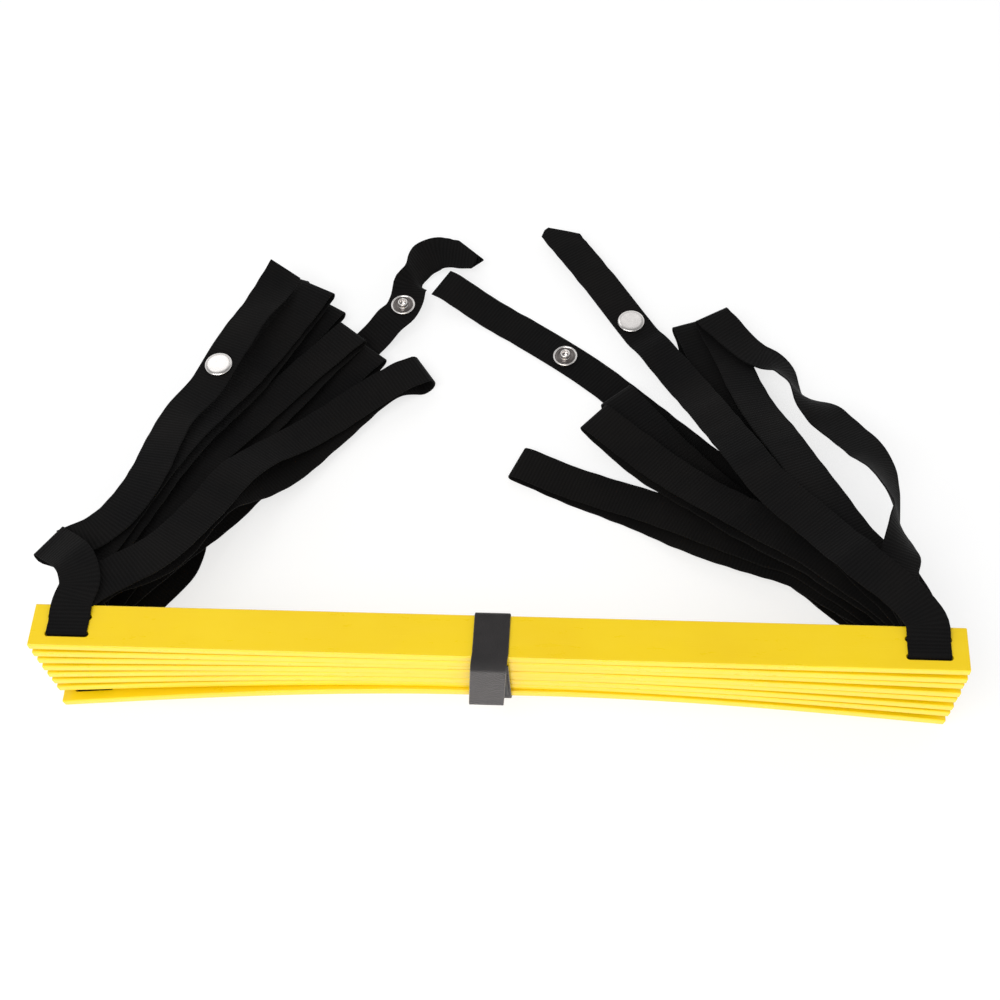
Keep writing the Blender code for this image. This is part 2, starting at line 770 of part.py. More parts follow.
def lathe(profile):
    """Points and faces of a turned body. The profile (radius, z) is a closed outline, and its
    points on the axis become one point each."""
    points, rings = [], []
    for radius, z in profile:
        if radius == 0:
            rings.append([len(points)] * snap_segments)
            points.append((0, 0, z))
            continue
        rings.append(list(range(len(points), len(points) + snap_segments)))
        for i in range(snap_segments):
            angle = 2 * math.pi * i / snap_segments
            points.append((radius * math.cos(angle), radius * math.sin(angle), z))
    faces = []
    closed = profile[0][0] > 0
    pairs = list(zip(rings, rings[1:])) + ([(rings[-1], rings[0])] if closed else [])
    for lower, upper in pairs:
        for i in range(snap_segments):
            j = (i + 1) % snap_segments
            corners = [lower[i], lower[j], upper[j], upper[i]]
            faces.append(tuple(dict.fromkeys(corners)))
    return points, faces


def cap_profile(post_length):
    """A low domed cap with a post under it. The strap's face is z = 0."""
    rise = snap_cap_rise
    return [
        (0, rise), (0.55 * snap_cap_radius, 0.96 * rise), (0.86 * snap_cap_radius, 0.75 * rise),
        (snap_cap_radius, 0.35 * rise), (0.98 * snap_cap_radius, 0.08 * rise), (0.9 * snap_cap_radius, 0),
        (snap_post_radius, 0), (snap_post_radius, -post_length), (0, -post_length),
    ]


def eyelet_profile(post_length):
    """The flat plate and post that hold a stud from the strap's other side."""
    return [
        (0, snap_sheet), (0.9 * snap_eyelet_radius, snap_sheet), (snap_eyelet_radius, 0.5 * snap_sheet),
        (snap_eyelet_radius, 0), (snap_post_radius, 0), (snap_post_radius, -post_length), (0, -post_length),
    ]


def stud_profile():
    """A stud in the middle of a plate with a rolled rim, with a bore for the post."""
    bore = snap_post_radius + contact_gap
    plate, ball, top, sheet = snap_plate_radius, snap_stud_radius, snap_stud_height, snap_sheet
    return [
        (bore, 0), (0.94 * plate, 0), (plate, sheet), (0.97 * plate, 1.9 * sheet),
        (0.91 * plate, 2.2 * sheet), (0.84 * plate, 1.8 * sheet), (0.79 * plate, sheet),
        (1.08 * ball, sheet), (0.94 * ball, 0.45 * top), (ball, 0.76 * top), (0.86 * ball, top), (bore, top),
    ]


def socket_profile():
    """A socket with a rolled rim and a collar round the hollow that takes the stud."""
    bore = snap_post_radius + contact_gap
    outer, height, sheet = snap_socket_radius, snap_socket_height, snap_sheet
    return [
        (bore, 0), (0.92 * outer, 0), (outer, 0.25 * height), (0.96 * outer, 0.5 * height),
        (0.84 * outer, 0.56 * height), (0.74 * outer, 0.9 * height), (0.66 * outer, height),
        (0.55 * outer, 0.95 * height), (0.53 * outer, sheet), (bore, sheet),
    ]


def spring_profile():
    ring, wire = spring_ring_radius, spring_wire_radius
    centre = 0.6 * snap_socket_height
    angles = [math.pi / 3 * i for i in range(6)]
    return [(ring + wire * math.cos(a), centre + wire * math.sin(a)) for a in angles]


def make_snap(side, place, tail, run, material):
    """The snap near a tail's free end, on an empty at the place where the tail bends."""
    stations = run_stations(run)
    frame = tail_frame(stations, snaps_from_end[side, place])
    bend = bpy.data.objects.new(f"bend_{side}_{place}", None)
    bpy.context.scene.collection.objects.link(bend)
    bend.matrix_world = tail_frame(stations, snaps_from_end[side, place] + tail_bend_before_snap[place])
    face = strap_thickness / 2 + contact_gap
    above = frame @ Matrix.Translation((0, 0, face))
    below = frame @ Matrix.Rotation(math.pi, 4, "X") @ Matrix.Translation((0, 0, face))
    post_length = 2 * face + snap_sheet + contact_gap
    name = f"snap_{side}_{place}"
    if place == "upper":
        pieces = [
            (name + "_cap", cap_profile(post_length), above),
            (name + "_socket", socket_profile(), below),
            (name + "_spring", spring_profile(), below),
        ]
    else:
        pieces = [
            (name + "_stud", stud_profile(), above),
            (name + "_eyelet", eyelet_profile(post_length), below),
        ]
    for piece_name, profile, matrix in pieces:
        piece = add_object(piece_name, *lathe(profile), material, matrix, smooth=True)
        piece.parent = bend
        piece.matrix_parent_inverse = bend.matrix_world.inverted()
    reach = 2 * strap_thickness
    drill = [(0, reach), (snap_hole_radius, reach), (snap_hole_radius, -reach), (0, -reach)]
    cut(tail, add_object(name + "_hole", *lathe(drill), None, frame))


# The band

def band_bounds():
    """Front, back, bottom and top of the band's inner side."""
    fronts, backs = [], []
    for index in range(rung_count):
        placed = rung_placement(index)
        for x in (band_x - flat_half_length, band_x + flat_half_length):
            fronts.append((placed @ Vector((x, -rung_width / 2, 0))).y)
            backs.append((placed @ Vector((x, rung_width / 2, 0))).y)
    bottom = middle_height(rung_count - 1, band_x) - rung_thickness / 2
    front = min(fronts) - band_clearance
    back = max(backs) + band_clearance
    return front, back, bottom - contact_gap, stack_height() + contact_gap


def offset_line(line, thickness):
    """The line (y, z) on the outer side of a strip of even thickness."""
    outer = []
    for i, (y, z) in enumerate(line):
        y0, z0 = line[max(i - 1, 0)]
        y1, z1 = line[min(i + 1, len(line) - 1)]
        along = Vector((y1 - y0, z1 - z0)).normalized()
        outer.append((y + along.y * thickness, z - along.x * thickness))
    return outer


def strip_body(line, thickness, x0, x1, sideways=0.0):
    """Points and faces of a strip along the line (y, z), from x0 to x1. Its far end lies
    sideways by the given length."""
    sections = []
    lengths = [0.0]
    for (y0, z0), (y1, z1) in zip(line, line[1:]):
        lengths.append(lengths[-1] + math.hypot(y1 - y0, z1 - z0))
    for (yi, zi), (yo, zo), length in zip(line, offset_line(line, thickness), lengths):
        shift = sideways * length / lengths[-1]
        left, right = x0 + shift, x1 + shift
        sections.append([(left, yi, zi), (right, yi, zi), (right, yo, zo), (left, yo, zo)])
    return loft(sections)


def corner(y, z, radius_y, radius_z, start):
    """A rounded corner (y, z), a quarter turn from the start angle."""
    angles = [start + math.pi / 2 * i / bend_steps for i in range(bend_steps + 1)]
    return [(y + radius_y * math.cos(a), z + radius_z * math.sin(a)) for a in angles]


def ring_line():
    """The ring's inner side: down the front of the stack, under it, up its back and over its top
    to the place where the loose end goes on."""
    front, back, bottom, top = band_bounds()
    radius = band_corner_radius
    line = [(front, top - band_turn_height)]
    line += corner(front + radius, bottom + radius, radius, radius, math.pi)
    line += corner(back - radius, bottom + radius, radius, radius, 1.5 * math.pi)
    line += corner(back - radius, top - radius, radius, radius, 0)
    return line + [(front + band_turn_depth, top)]


def flap_line():
    """The loose end's inner side: over the top front corner and down in front of the ring."""
    front, _, bottom, top = band_bounds()
    hang = front - band_thickness - 2 * patch_thickness - 3 * contact_gap
    line = [(front + band_turn_depth - contact_gap, top)]
    line += corner(front + band_corner_radius, top - band_turn_height, front + band_corner_radius - hang,
                   band_turn_height, math.pi / 2)
    return line + [(hang, bottom - band_flap_overhang)]


def about(line, y, z):
    """The line (y, z) measured from a place."""
    return [(py - y, pz - z) for py, pz in line]


def make_band(materials):
    front, _, bottom, top = band_bounds()
    middle = (bottom + top) / 2
    low, high = -band_width / 2, band_width / 2
    place = Matrix.Translation((band_x, front, middle))
    hinge_y = front + band_turn_depth
    hinge_z = top + band_thickness
    hinge = Matrix.Translation((band_x, hinge_y, hinge_z))
    ring = strip_body(about(ring_line(), front, middle), band_thickness, low, high)
    add_object("band_ring", *ring, materials["band"], place, smooth=True)
    flap = strip_body(about(flap_line(), hinge_y, hinge_z), band_thickness, low, high, band_flap_sideways)
    add_object("band_flap", *flap, materials["band"], hinge, smooth=True)
    low, high = low + patch_inset, high - patch_inset
    upright = [(0, middle + patch_length / 2), (0, middle - patch_length / 2)]
    face = band_thickness + contact_gap
    loops = strip_body(about(upright, face, middle), patch_thickness, low, high)
    add_object("band_loop_patch", *loops, materials["patch"], place)
    face += patch_thickness + contact_gap
    hooks = strip_body(about(upright, band_turn_depth + face, hinge_z), patch_thickness, low, high)
    add_object("band_hook_patch", *hooks, materials["patch"], hinge)


def centre_footprint():
    """Moves everything so that the origin is under the middle of the folded ladder."""
    bpy.context.view_layer.update()
    graph = bpy.context.evaluated_depsgraph_get()
    corners = []
    for made in bpy.context.scene.objects:
        if made.type != "MESH" or made.hide_render:
            continue
        shape = made.evaluated_get(graph)
        corners += [shape.matrix_world @ vertex.co for vertex in shape.data.vertices]
    low = Vector(min(c[i] for c in corners) for i in range(3))
    high = Vector(max(c[i] for c in corners) for i in range(3))
    move = Vector((-(low.x + high.x) / 2, -(low.y + high.y) / 2, -low.z))
    for made in bpy.context.scene.objects:
        if made.parent is None:
            made.matrix_world = Matrix.Translation(move) @ made.matrix_world
    print("moved by", tuple(round(v, 6) for v in move))


def main():
    clear_scene()
    materials = make_materials()
    for index in range(rung_count):
        make_rung(index, materials["rung"])
    heap = new_heap()
    for side in ("left", "right"):
        runs = lay_side(heap, side)
        straps = make_straps(side, runs, materials["strap"])
        for place in ("upper", "lower"):
            make_snap(side, place, straps["tail_" + place], runs["tail_" + place][-1], materials["snap"])
    make_band(materials)
    centre_footprint()


main()
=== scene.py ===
"""Dresses the folded agility ladder, and sets up the photograph's view of it.

The stack's shape and the straps' routes are the part's own. They are worked out here again, and
the webbing and the band are drawn at a finer step. As in the part's source, places are measured
from the middle of the stack's footprint, with X along the rungs, Y towards the loops behind the
stack and Z up. The matrix to_frame brings them into the frame.
"""

import json
import math

import bmesh
import bpy
import numpy as np
from mathutils import Matrix, Vector

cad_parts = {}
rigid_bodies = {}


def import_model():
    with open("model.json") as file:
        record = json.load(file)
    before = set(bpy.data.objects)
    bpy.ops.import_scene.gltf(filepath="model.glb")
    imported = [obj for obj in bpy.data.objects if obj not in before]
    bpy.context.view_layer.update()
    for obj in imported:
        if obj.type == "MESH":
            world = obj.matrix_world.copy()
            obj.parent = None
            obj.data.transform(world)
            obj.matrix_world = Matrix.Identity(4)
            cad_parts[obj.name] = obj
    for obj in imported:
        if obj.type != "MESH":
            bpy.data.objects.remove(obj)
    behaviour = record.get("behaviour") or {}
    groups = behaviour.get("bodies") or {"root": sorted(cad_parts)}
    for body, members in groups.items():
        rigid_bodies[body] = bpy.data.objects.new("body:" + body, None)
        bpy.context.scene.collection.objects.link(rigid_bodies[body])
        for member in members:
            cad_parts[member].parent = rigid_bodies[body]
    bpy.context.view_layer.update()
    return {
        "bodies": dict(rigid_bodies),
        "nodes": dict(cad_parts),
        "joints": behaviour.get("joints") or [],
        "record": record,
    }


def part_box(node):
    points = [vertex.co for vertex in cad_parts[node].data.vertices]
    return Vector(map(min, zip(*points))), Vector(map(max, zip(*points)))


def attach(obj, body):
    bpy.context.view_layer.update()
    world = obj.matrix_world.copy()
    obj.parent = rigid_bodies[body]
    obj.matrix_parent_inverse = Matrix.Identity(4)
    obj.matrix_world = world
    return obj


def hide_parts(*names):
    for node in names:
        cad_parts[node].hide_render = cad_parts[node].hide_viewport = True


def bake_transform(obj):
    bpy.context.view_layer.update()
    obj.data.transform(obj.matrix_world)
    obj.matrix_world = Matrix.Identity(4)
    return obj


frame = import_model()

# Rungs
rung_count = 8
rung_length = 0.440
rung_width = 0.0223
rung_thickness = 0.0046
rung_edge_radius = 0.0008
rung_corner_steps = 4
rung_stations = 41
rung_fine_steps = 16
rung_rim_radius = 0.00035
contact_gap = 0.0003

# Slots in the rungs: two at each end, side by side, with a bar between them
slot_from_end = 0.018
slot_centre_y = 0.0045
slot_length = 0.0212
slot_width = 0.0030
slot_end_steps = 12
slot_centre_x = rung_length / 2 - slot_from_end

# How the stack is squeezed by the band in the middle and spread by the straps at the ends
flat_half_length = 0.019
end_gaps = 6 * [0.0033] + [0.0055]
strap_under_tips = 0.00048
rung_shifts = [0.0, -0.0003, 0.0002, -0.0002, 0.0003, 0.0001, 0.0002, -0.0014]
rung_yaws = [0.0, -0.0009, 0.0007, -0.0006, 0.0009, -0.0005, 0.0006, 0.0085]

# Straps, as they are laid
strap_width = 0.020
strap_thickness = 0.0008
strap_gap = 0.0002
strap_step = 0.0085
bend_radius = 0.0008
bend_steps = 6
fold_opening = 0.0036
fold_steps = 8
heap_cell = 0.0020
heap_gap = 0.00045
heap_reach_shares = (0.68, 0.82)
hang_length = 0.085
tip_droop_share = 0.3
fold_height = 0.049
across_samples = 9
between_samples = 4
edge_margin = 0.0012
tilt_reach_share = 0.35
tilt_share = 0.6
most_tilt = math.radians(9)
drape_rounds = 10
route_samples = 24
untwisted = [(0, 0), (2, 0)]

# Webbing seen close. The waves of each length are drawn from seeds of its own.
webbing_step = 0.0022
seeds_each = 3
tip_reach = 0.030
square_cut = [(-1, 0), (1, 0)]
tip_cuts = {
    ("right", "upper"): [(-1.0, 0.016), (-0.5, 0.010), (0.4, 0), (1.0, 0.005)],
    ("left", "lower"): [(-1.0, 0.007), (-0.3, 0), (1.0, 0.016)],
}
webbing_section_shares = [
    (-1, 0), (-0.99, 0.7), (-0.955, 1.12), (-0.91, 0.96), (-0.6, 1), (-0.3, 1.03), (0, 1),
    (0.3, 1.03), (0.6, 1), (0.91, 0.96), (0.955, 1.12), (0.99, 0.7), (1, 0),
]
ripple_height = 0.00013
ripple_lengths = (0.031, 0.019, 0.0125)
edge_wander = 0.00022
rib_pitch = 0.0019
warp_pitch = 0.0011

# Snap fasteners
snaps_from_end = {
    ("left", "upper"): 0.079,
    ("left", "lower"): 0.073,
    ("right", "upper"): 0.088,
    ("right", "lower"): 0.088,
}
snap_seat = 0.0165
snap_segments = 64
tail_bend_before_snap = {"upper": 0.037, "lower": 0.020}
snap_cap_radius = 0.0075
snap_cap_rise = 0.0012
snap_post_radius = 0.0015
snap_plate_radius = 0.0069
snap_stud_radius = 0.0028
snap_stud_height = 0.0035
snap_eyelet_radius = 0.0055
snap_socket_radius = 0.0063
snap_socket_height = 0.0030
snap_sheet = 0.0005
# The stud's groove, as shares of the stud's and the plate's radius. The nickel there is painted dark as
# shade.
stud_recess_shares = (1.02, 0.84)
spring_wire_radius = 0.0002
spring_ring_radius = 0.00295
spring_wire_segments = 12

# Band round the middle
band_x = 0.0005
band_place = Matrix.Translation((band_x, 0, 0))
band_width = 0.017
band_thickness = 0.0008
band_clearance = 0.0005
band_corner_radius = 0.0016
band_turn_height = 0.0034
band_turn_depth = 0.0042
band_flap_overhang = 0.0012
band_flap_sideways = -0.0038
patch_thickness = 0.0006
patch_length = 0.022
patch_inset = 0.0012
band_edge_radius = 0.0003
band_step = 0.0012

# Finishes: edges that turn by more than the sharp angle are sharp, and the depths are of fine relief
sharp_angle = math.radians(40)
scratch_depth = 0.00002
flow_depth = 0.0003
weave_depth = 0.00005
fuzz_depth = 0.00006
pile_depth = 0.00025
fluff_depth = 0.0002

# The stage. A lamp has its place, the point that it faces, its size and its power.
floor_half_length = 6.0
floor_glow = 0.70
world_at_horizon = 1.0
world_overhead = 0.30
lamps = {
    "key": ((-0.35, -0.75, 1.35), (0, 0.02, 0), (1.3, 0.9), 12),
    "front": ((0.1, -1.4, 0.35), (0, 0, 0.02), (1.6, 0.5), 5),
}
catch_distance = 1.2
catch_size = 0.42
catch_powers = {"left": 0.62, "right": 0.32}

# The camera, as fitted to the photograph's rungs
camera_place = (0.05884, -0.33716, 0.74168)
camera_yaw = -0.1410
camera_pitch = 1.0212
camera_roll = -0.0998
camera_lens = 58.32
camera_sensor = 36.0

# Plan routes of the strap lengths, as shares of the rung's length from the stack's middle.
# A loop has the point where it folds back, then the points that its upper and its lower run
# pass on the way there from the rungs.
tail_route_shares = {
    ("left", "upper"): [
        (-0.489, 0.115), (-0.46, 0.133), (-0.438, 0.165), (-0.419, 0.217), (-0.404, 0.311),
        (-0.378, 0.366), (-0.361, 0.414), (-0.34, 0.473), (-0.321, 0.52), (-0.306, 0.567),
    ],
    ("left", "lower"): [
        (-0.426, 0.178), (-0.354, 0.274), (-0.285, 0.373), (-0.222, 0.454), (-0.179, 0.499),
        (-0.152, 0.531), (-0.143, 0.581), (-0.12, 0.623), (-0.052, 0.625),
    ],
    ("right", "upper"): [
        (0.43, 0.069), (0.394, 0.106), (0.352, 0.167), (0.303, 0.23), (0.254, 0.326), (0.21, 0.416),
        (0.147, 0.511), (0.1, 0.585), (0.035, 0.683),
    ],
    ("right", "lower"): [
        (0.382, 0.182), (0.314, 0.247), (0.239, 0.316), (0.17, 0.379), (0.115, 0.428), (0.059, 0.472),
        (-0.027, 0.531), (-0.106, 0.577),
    ],
}
# A tail that folds under itself goes to the last of these points first
fold_route_shares = {
    ("left", "upper"): [(-0.455, 0.047), (-0.461, 0.069), (-0.478, 0.091), (-0.505, 0.111)],
}
loop_route_shares = {
    ("left", 1): [
        (-0.125, 0.432),
        [(-0.392, 0.098), (-0.354, 0.169), (-0.307, 0.266), (-0.243, 0.336), (-0.183, 0.39)],
        [(-0.384, 0.11), (-0.342, 0.199), (-0.283, 0.266), (-0.231, 0.333), (-0.18, 0.392)],
    ],
    ("left", 2): [
        (-0.264, 0.547),
        [(-0.463, 0.088), (-0.433, 0.176), (-0.388, 0.298), (-0.331, 0.416)],
        [(-0.456, 0.09), (-0.425, 0.178), (-0.381, 0.3), (-0.326, 0.416)],
    ],
    ("left", 3): [
        (-0.214, 0.482),
        [(-0.452, 0.089), (-0.412, 0.171), (-0.359, 0.288), (-0.294, 0.39)],
        [(-0.452, 0.088), (-0.409, 0.172), (-0.351, 0.282), (-0.282, 0.387)],
    ],
    ("left", 4): [
        (-0.307, 0.574),
        [(-0.472, 0.105), (-0.446, 0.201), (-0.406, 0.323), (-0.354, 0.439)],
        [(-0.472, 0.104), (-0.442, 0.201), (-0.401, 0.323), (-0.348, 0.437)],
    ],
    ("left", 5): [
        (-0.188, 0.462),
        [(-0.401, 0.182), (-0.333, 0.288), (-0.257, 0.382)],
        [(-0.377, 0.176), (-0.308, 0.281), (-0.243, 0.38)],
    ],
    ("left", 6): [
        (-0.25, 0.533),
        [(-0.439, 0.206), (-0.388, 0.313), (-0.323, 0.421)],
        [(-0.429, 0.205), (-0.376, 0.31), (-0.312, 0.419)],
    ],
    ("left", 7): [
        (-0.287, 0.521),
        [(-0.433, 0.169), (-0.401, 0.261), (-0.35, 0.391)],
        [(-0.392, 0.143), (-0.385, 0.199), (-0.366, 0.294), (-0.328, 0.409)],
    ],
    ("right", 1): [
        (0.248, 0.514),
        [(0.434, 0.079), (0.441, 0.122), (0.442, 0.174), (0.431, 0.263), (0.393, 0.335),
         (0.35, 0.401), (0.329, 0.442), (0.293, 0.463)],
        [(0.435, 0.099), (0.402, 0.141), (0.369, 0.204), (0.334, 0.278), (0.296, 0.371), (0.27, 0.454)],
    ],
    ("right", 2): [
        (0.22, 0.51),
        [(0.439, 0.085), (0.396, 0.14), (0.347, 0.219), (0.296, 0.329), (0.249, 0.437)],
        [(0.389, 0.14), (0.338, 0.22), (0.288, 0.333), (0.242, 0.437)],
    ],
    ("right", 3): [
        (0.103, 0.356),
        [(0.37, 0.134), (0.296, 0.192), (0.217, 0.259), (0.158, 0.31)],
        [(0.369, 0.131), (0.294, 0.187), (0.22, 0.253), (0.158, 0.304)],
    ],
    ("right", 4): [
        (0.241, 0.497),
        [(0.393, 0.152), (0.341, 0.231), (0.294, 0.335)],
        [(0.387, 0.151), (0.334, 0.232), (0.287, 0.336)],
    ],
    ("right", 5): [
        (0.011, 0.305),
        [(0.361, 0.141), (0.295, 0.178), (0.229, 0.212), (0.159, 0.248), (0.073, 0.28)],
        [(0.355, 0.136), (0.293, 0.169), (0.227, 0.198), (0.157, 0.239), (0.076, 0.274)],
    ],
    ("right", 6): [
        (0.132, 0.395),
        [(0.364, 0.159), (0.291, 0.227), (0.214, 0.302)],
        [(0.358, 0.157), (0.284, 0.225), (0.211, 0.3)],
    ],
    ("right", 7): [
        (0.164, 0.352),
        [(0.376, 0.141), (0.307, 0.206), (0.231, 0.278)],
        [(0.372, 0.138), (0.299, 0.201), (0.226, 0.272)],
    ],
}

# Where a run twists: its progress from the rungs, then the twist there in degrees. A loop's run has
# gone its whole length at 1. A tail has come to its snap at 1, and to its free end at 2.
twists = {
    ("left", "tail", "upper"): [(0.00, 0), (1.55, 0), (2.00, 42)],
    ("left", "tail", "lower"): [(0.00, 0), (1.21, 0), (1.31, 74), (1.46, 46), (1.75, 8), (2.00, 0)],
    ("right", "loop", 1): [
        (0.00, 0), (0.17, 10), (0.28, 76), (0.37, 50), (0.48, 8), (0.63, 0), (0.73, 66), (0.84, 10),
        (1.00, 0),
    ],
}
# Runs that come down more slowly than the others, and the length in which they do
slow_hang_lengths = {
    ("right", "loop", 1): 0.25,
    ("left", "fold", "upper"): 0.135,
}


# The stack's shape

def bow_share(x):
    """How far the stack has spread at x: none by the band, and all at the rungs' ends."""
    free = rung_length / 2 - flat_half_length
    s = min(max((abs(x - band_x) - flat_half_length) / free, 0.0), 1.0)
    return s * s * (3 - s) / 2


def gap_below(index, x):
    return contact_gap + (end_gaps[index] - contact_gap) * bow_share(x)


def stack_height():
    """The bottom rung's tips stay clear of the floor, because the straps pass under them."""
    return rung_count * rung_thickness + sum(end_gaps) + strap_under_tips


def middle_height(index, x):
    """Height of the middle of a rung's thickness at x."""
    above = sum(rung_thickness + gap_below(i, x) for i in range(index))
    return stack_height() - rung_thickness / 2 - above


def rung_slope(index, x):
    step = 0.25 * contact_gap
    return (middle_height(index, x + step) - middle_height(index, x - step)) / (2 * step)


def rung_centreline(index):
    """Points (x, z) along the bent rung, spaced by its own length."""
    side = []
    steps = rung_fine_steps * (rung_stations // 2)
    for sign in (-1, 1):
        x = 0.0
        length = rung_length / 2 / steps
        points = [(x, middle_height(index, x))]
        for _ in range(steps):
            x += sign * length * math.cos(math.atan(rung_slope(index, x)))
            points.append((x, middle_height(index, x)))
        side.append(points[::rung_fine_steps])
    return side[0][:0:-1] + side[1]


def arc(centre, radii, start, turn=math.pi / 2, steps=bend_steps):
    """Points of an arc from the start angle on, with a radius for each of the two axes."""
    angles = [start + turn * i / steps for i in range(steps + 1)]
    return [(centre[0] + radii[0] * math.cos(a), centre[1] + radii[1] * math.sin(a)) for a in angles]


def rung_outline():
    """The rung's section (y, z): a flat bar with rounded edges."""
    half_width = rung_width / 2 - rung_edge_radius
    half_thickness = rung_thickness / 2 - rung_edge_radius
    points = []
    for corner, (y, z) in enumerate(((1, 1), (-1, 1), (-1, -1), (1, -1))):
        centre = (y * half_width, z * half_thickness)
        radii = (rung_edge_radius, rung_edge_radius)
        points += arc(centre, radii, math.pi / 2 * corner, steps=rung_corner_steps)
    return points


def rung_pivot(index):
    """The place in the band about which a rung lies turned."""
    return band_place @ Matrix.Rotation(rung_yaws[index], 4, "Z")


def rung_placement(index):
    """The rung lies turned a little about the band, and shifted a little across the stack."""
    return rung_pivot(index) @ Matrix.Translation((-band_x, rung_shifts[index], 0))


def slot_x(side):
    return slot_centre_x if side == "right" else -slot_centre_x


def slope_roll(index, side):
    """The roll of a strap that lies on a rung's slope."""
    return -math.atan(rung_slope(index, slot_x(side)))


def slot_frame(index, side):
    """Axes at a rung's slots: X along the rung, Y across the stack, Z through its thickness."""
    x = slot_x(side)
    tilt = Matrix.Rotation(slope_roll(index, side), 4, "Y")
    return rung_placement(index) @ Matrix.Translation((x, 0, middle_height(index, x))) @ tilt


# The straps near the rungs: paths (y, z) in a slot frame

def level_above(layer):
    """Height of a strap's middle over the rung's middle, for the first or the second layer on it."""
    return rung_thickness / 2 + (layer + 1) * strap_gap + (layer + 0.5) * strap_thickness


def path_out():
    """From inside the back slot up and out over the rung's back edge."""
    top = level_above(0)
    turn = (slot_centre_y + bend_radius, top - bend_radius)
    bend = arc(turn, (bend_radius, bend_radius), math.pi, -math.pi / 2)
    return [(slot_centre_y, strap_gap / 2)] + bend + [(rung_width / 2 + strap_thickness, top)]


def path_in():
    """In over the back edge and the outgoing layer, down the front slot, under the bar and
    up into the back slot."""
    top = level_above(0)
    second = level_above(1)
    radius = bend_radius
    drop_from = slot_centre_y + radius + strap_gap
    drop_to = slot_centre_y - 1.5 * strap_thickness - 2 * strap_gap
    path = [(rung_width / 2 + strap_thickness, second), (drop_from, second), (drop_to, top)]
    inner, level = slot_centre_y - radius, top - radius
    for turn, start in (((-inner, level), 0.5), ((-inner, -level), 1), ((inner, -level), -0.5)):
        path += arc(turn, (radius, radius), start * math.pi)
    return path + [(slot_centre_y, -strap_gap / 2)]


def on_rung(index, side, path):
    """Stations of a path on a rung. Each is a point and the direction across the strap there."""
    frame = slot_frame(index, side)
    return np.array([(frame @ Vector((0, y, z)), -frame.col[0].to_3d()) for y, z in path])


# The straps behind the stack: each run is laid on those below it

def lengths_along(points):
    return np.concatenate([[0], np.cumsum(np.linalg.norm(np.diff(points, axis=0), axis=1))])


def unit(vectors):
    return vectors / np.linalg.norm(vectors, axis=-1, keepdims=True)


def points_at(line, walked, lengths):
    """Points at some lengths along a line, whose own points are at the walked ones."""
    return np.column_stack([np.interp(lengths, walked, axis) for axis in line.T])


def finer_lengths(walked, step, whole):
    """The walked lengths, with even steps between them, of about the given one. whole is how
    their count is rounded."""
    found = []
    for start, end in zip(walked, walked[1:]):
        count = max(1, whole((end - start) / step))
        found += list(np.linspace(start, end, count, endpoint=False))
    return np.array(found + [walked[-1]])


def smooth_route(points, heading):
    """Points at even steps along a smooth curve through the given ones. It sets out between its
    heading and straight at the second point."""
    first = np.linalg.norm(points[1] - points[0])
    padded = [points[0] - heading * first] + list(points) + [2 * points[-1] - points[-2]]
    dense = []
    for a, b, c, d in zip(padded, padded[1:], padded[2:], padded[3:]):
        square, cube = 2 * a - 5 * b + 4 * c - d, 3 * b - a - 3 * c + d
        for t in np.linspace(0, 1, route_samples, endpoint=False):
            dense.append(0.5 * (2 * b + (c - a) * t + square * t**2 + cube * t**3))
    dense = np.array(dense + [points[-1]])
    walked = lengths_along(dense)
    count = max(4, round(walked[-1] / strap_step))
    return points_at(dense, walked, np.linspace(0, walked[-1], count + 1))


def ramp(lengths, whole):
    """How much of a change is done at some lengths: it starts and ends gently."""
    done = np.clip(lengths / whole, 0, 1)
    return done * done * (3 - 2 * done)


def eased(values):
    """Each value drawn halfway to its neighbours' mean."""
    middle = 0.25 * values[:-2] + 0.5 * values[1:-1] + 0.25 * values[2:]
    return np.concatenate([values[:1], middle, values[-1:]])


def draped(height, needed):
    """The height of a stiff strap that hangs as given, and spans the hollows between what it
    has to clear."""
    height = np.maximum(height, needed)
    for _ in range(drape_rounds):
        height = np.maximum(eased(height), needed)
    return height


def new_heap():
    """Heights of what lies behind the stack. It starts a gap under the floor, so that the first
    strap lies on the floor itself."""
    half, depth = (round(share * rung_length / heap_cell) for share in heap_reach_shares)
    return np.full((2 * half, depth), -heap_gap)


def heap_cells(heap, plan):
    i = np.clip((plan[..., 0] / heap_cell + heap.shape[0] // 2).astype(int), 1, heap.shape[0] - 2)
    j = np.clip((plan[..., 1] / heap_cell).astype(int), 1, heap.shape[1] - 2)
    return i, j


def heap_height(heap, plan):
    return heap[heap_cells(heap, plan)]


def raise_heap(heap, plan, tops):
    i, j = heap_cells(heap, plan)
    for di in (-1, 0, 1):
        for dj in (-1, 0, 1):
            np.maximum.at(heap, (i + di, j + dj), tops)


def lateral_of(route):
    """The directions along a route and to its left."""
    along = unit(np.gradient(route, axis=0))
    return along, np.column_stack([-along[:, 1], along[:, 0]])


def between(values, share):
    """The values a share of the way from each station to the next."""
    return values[:-1] * (1 - share) + values[1:] * share


def progress_of(walked, snap_from_end):
    """How far each station has gone, as the twists count it."""
    if snap_from_end is None:
        return walked / walked[-1]
    snap = walked[-1] - snap_from_end
    return np.where(walked < snap, walked / snap, 1 + (walked - snap) / snap_from_end)


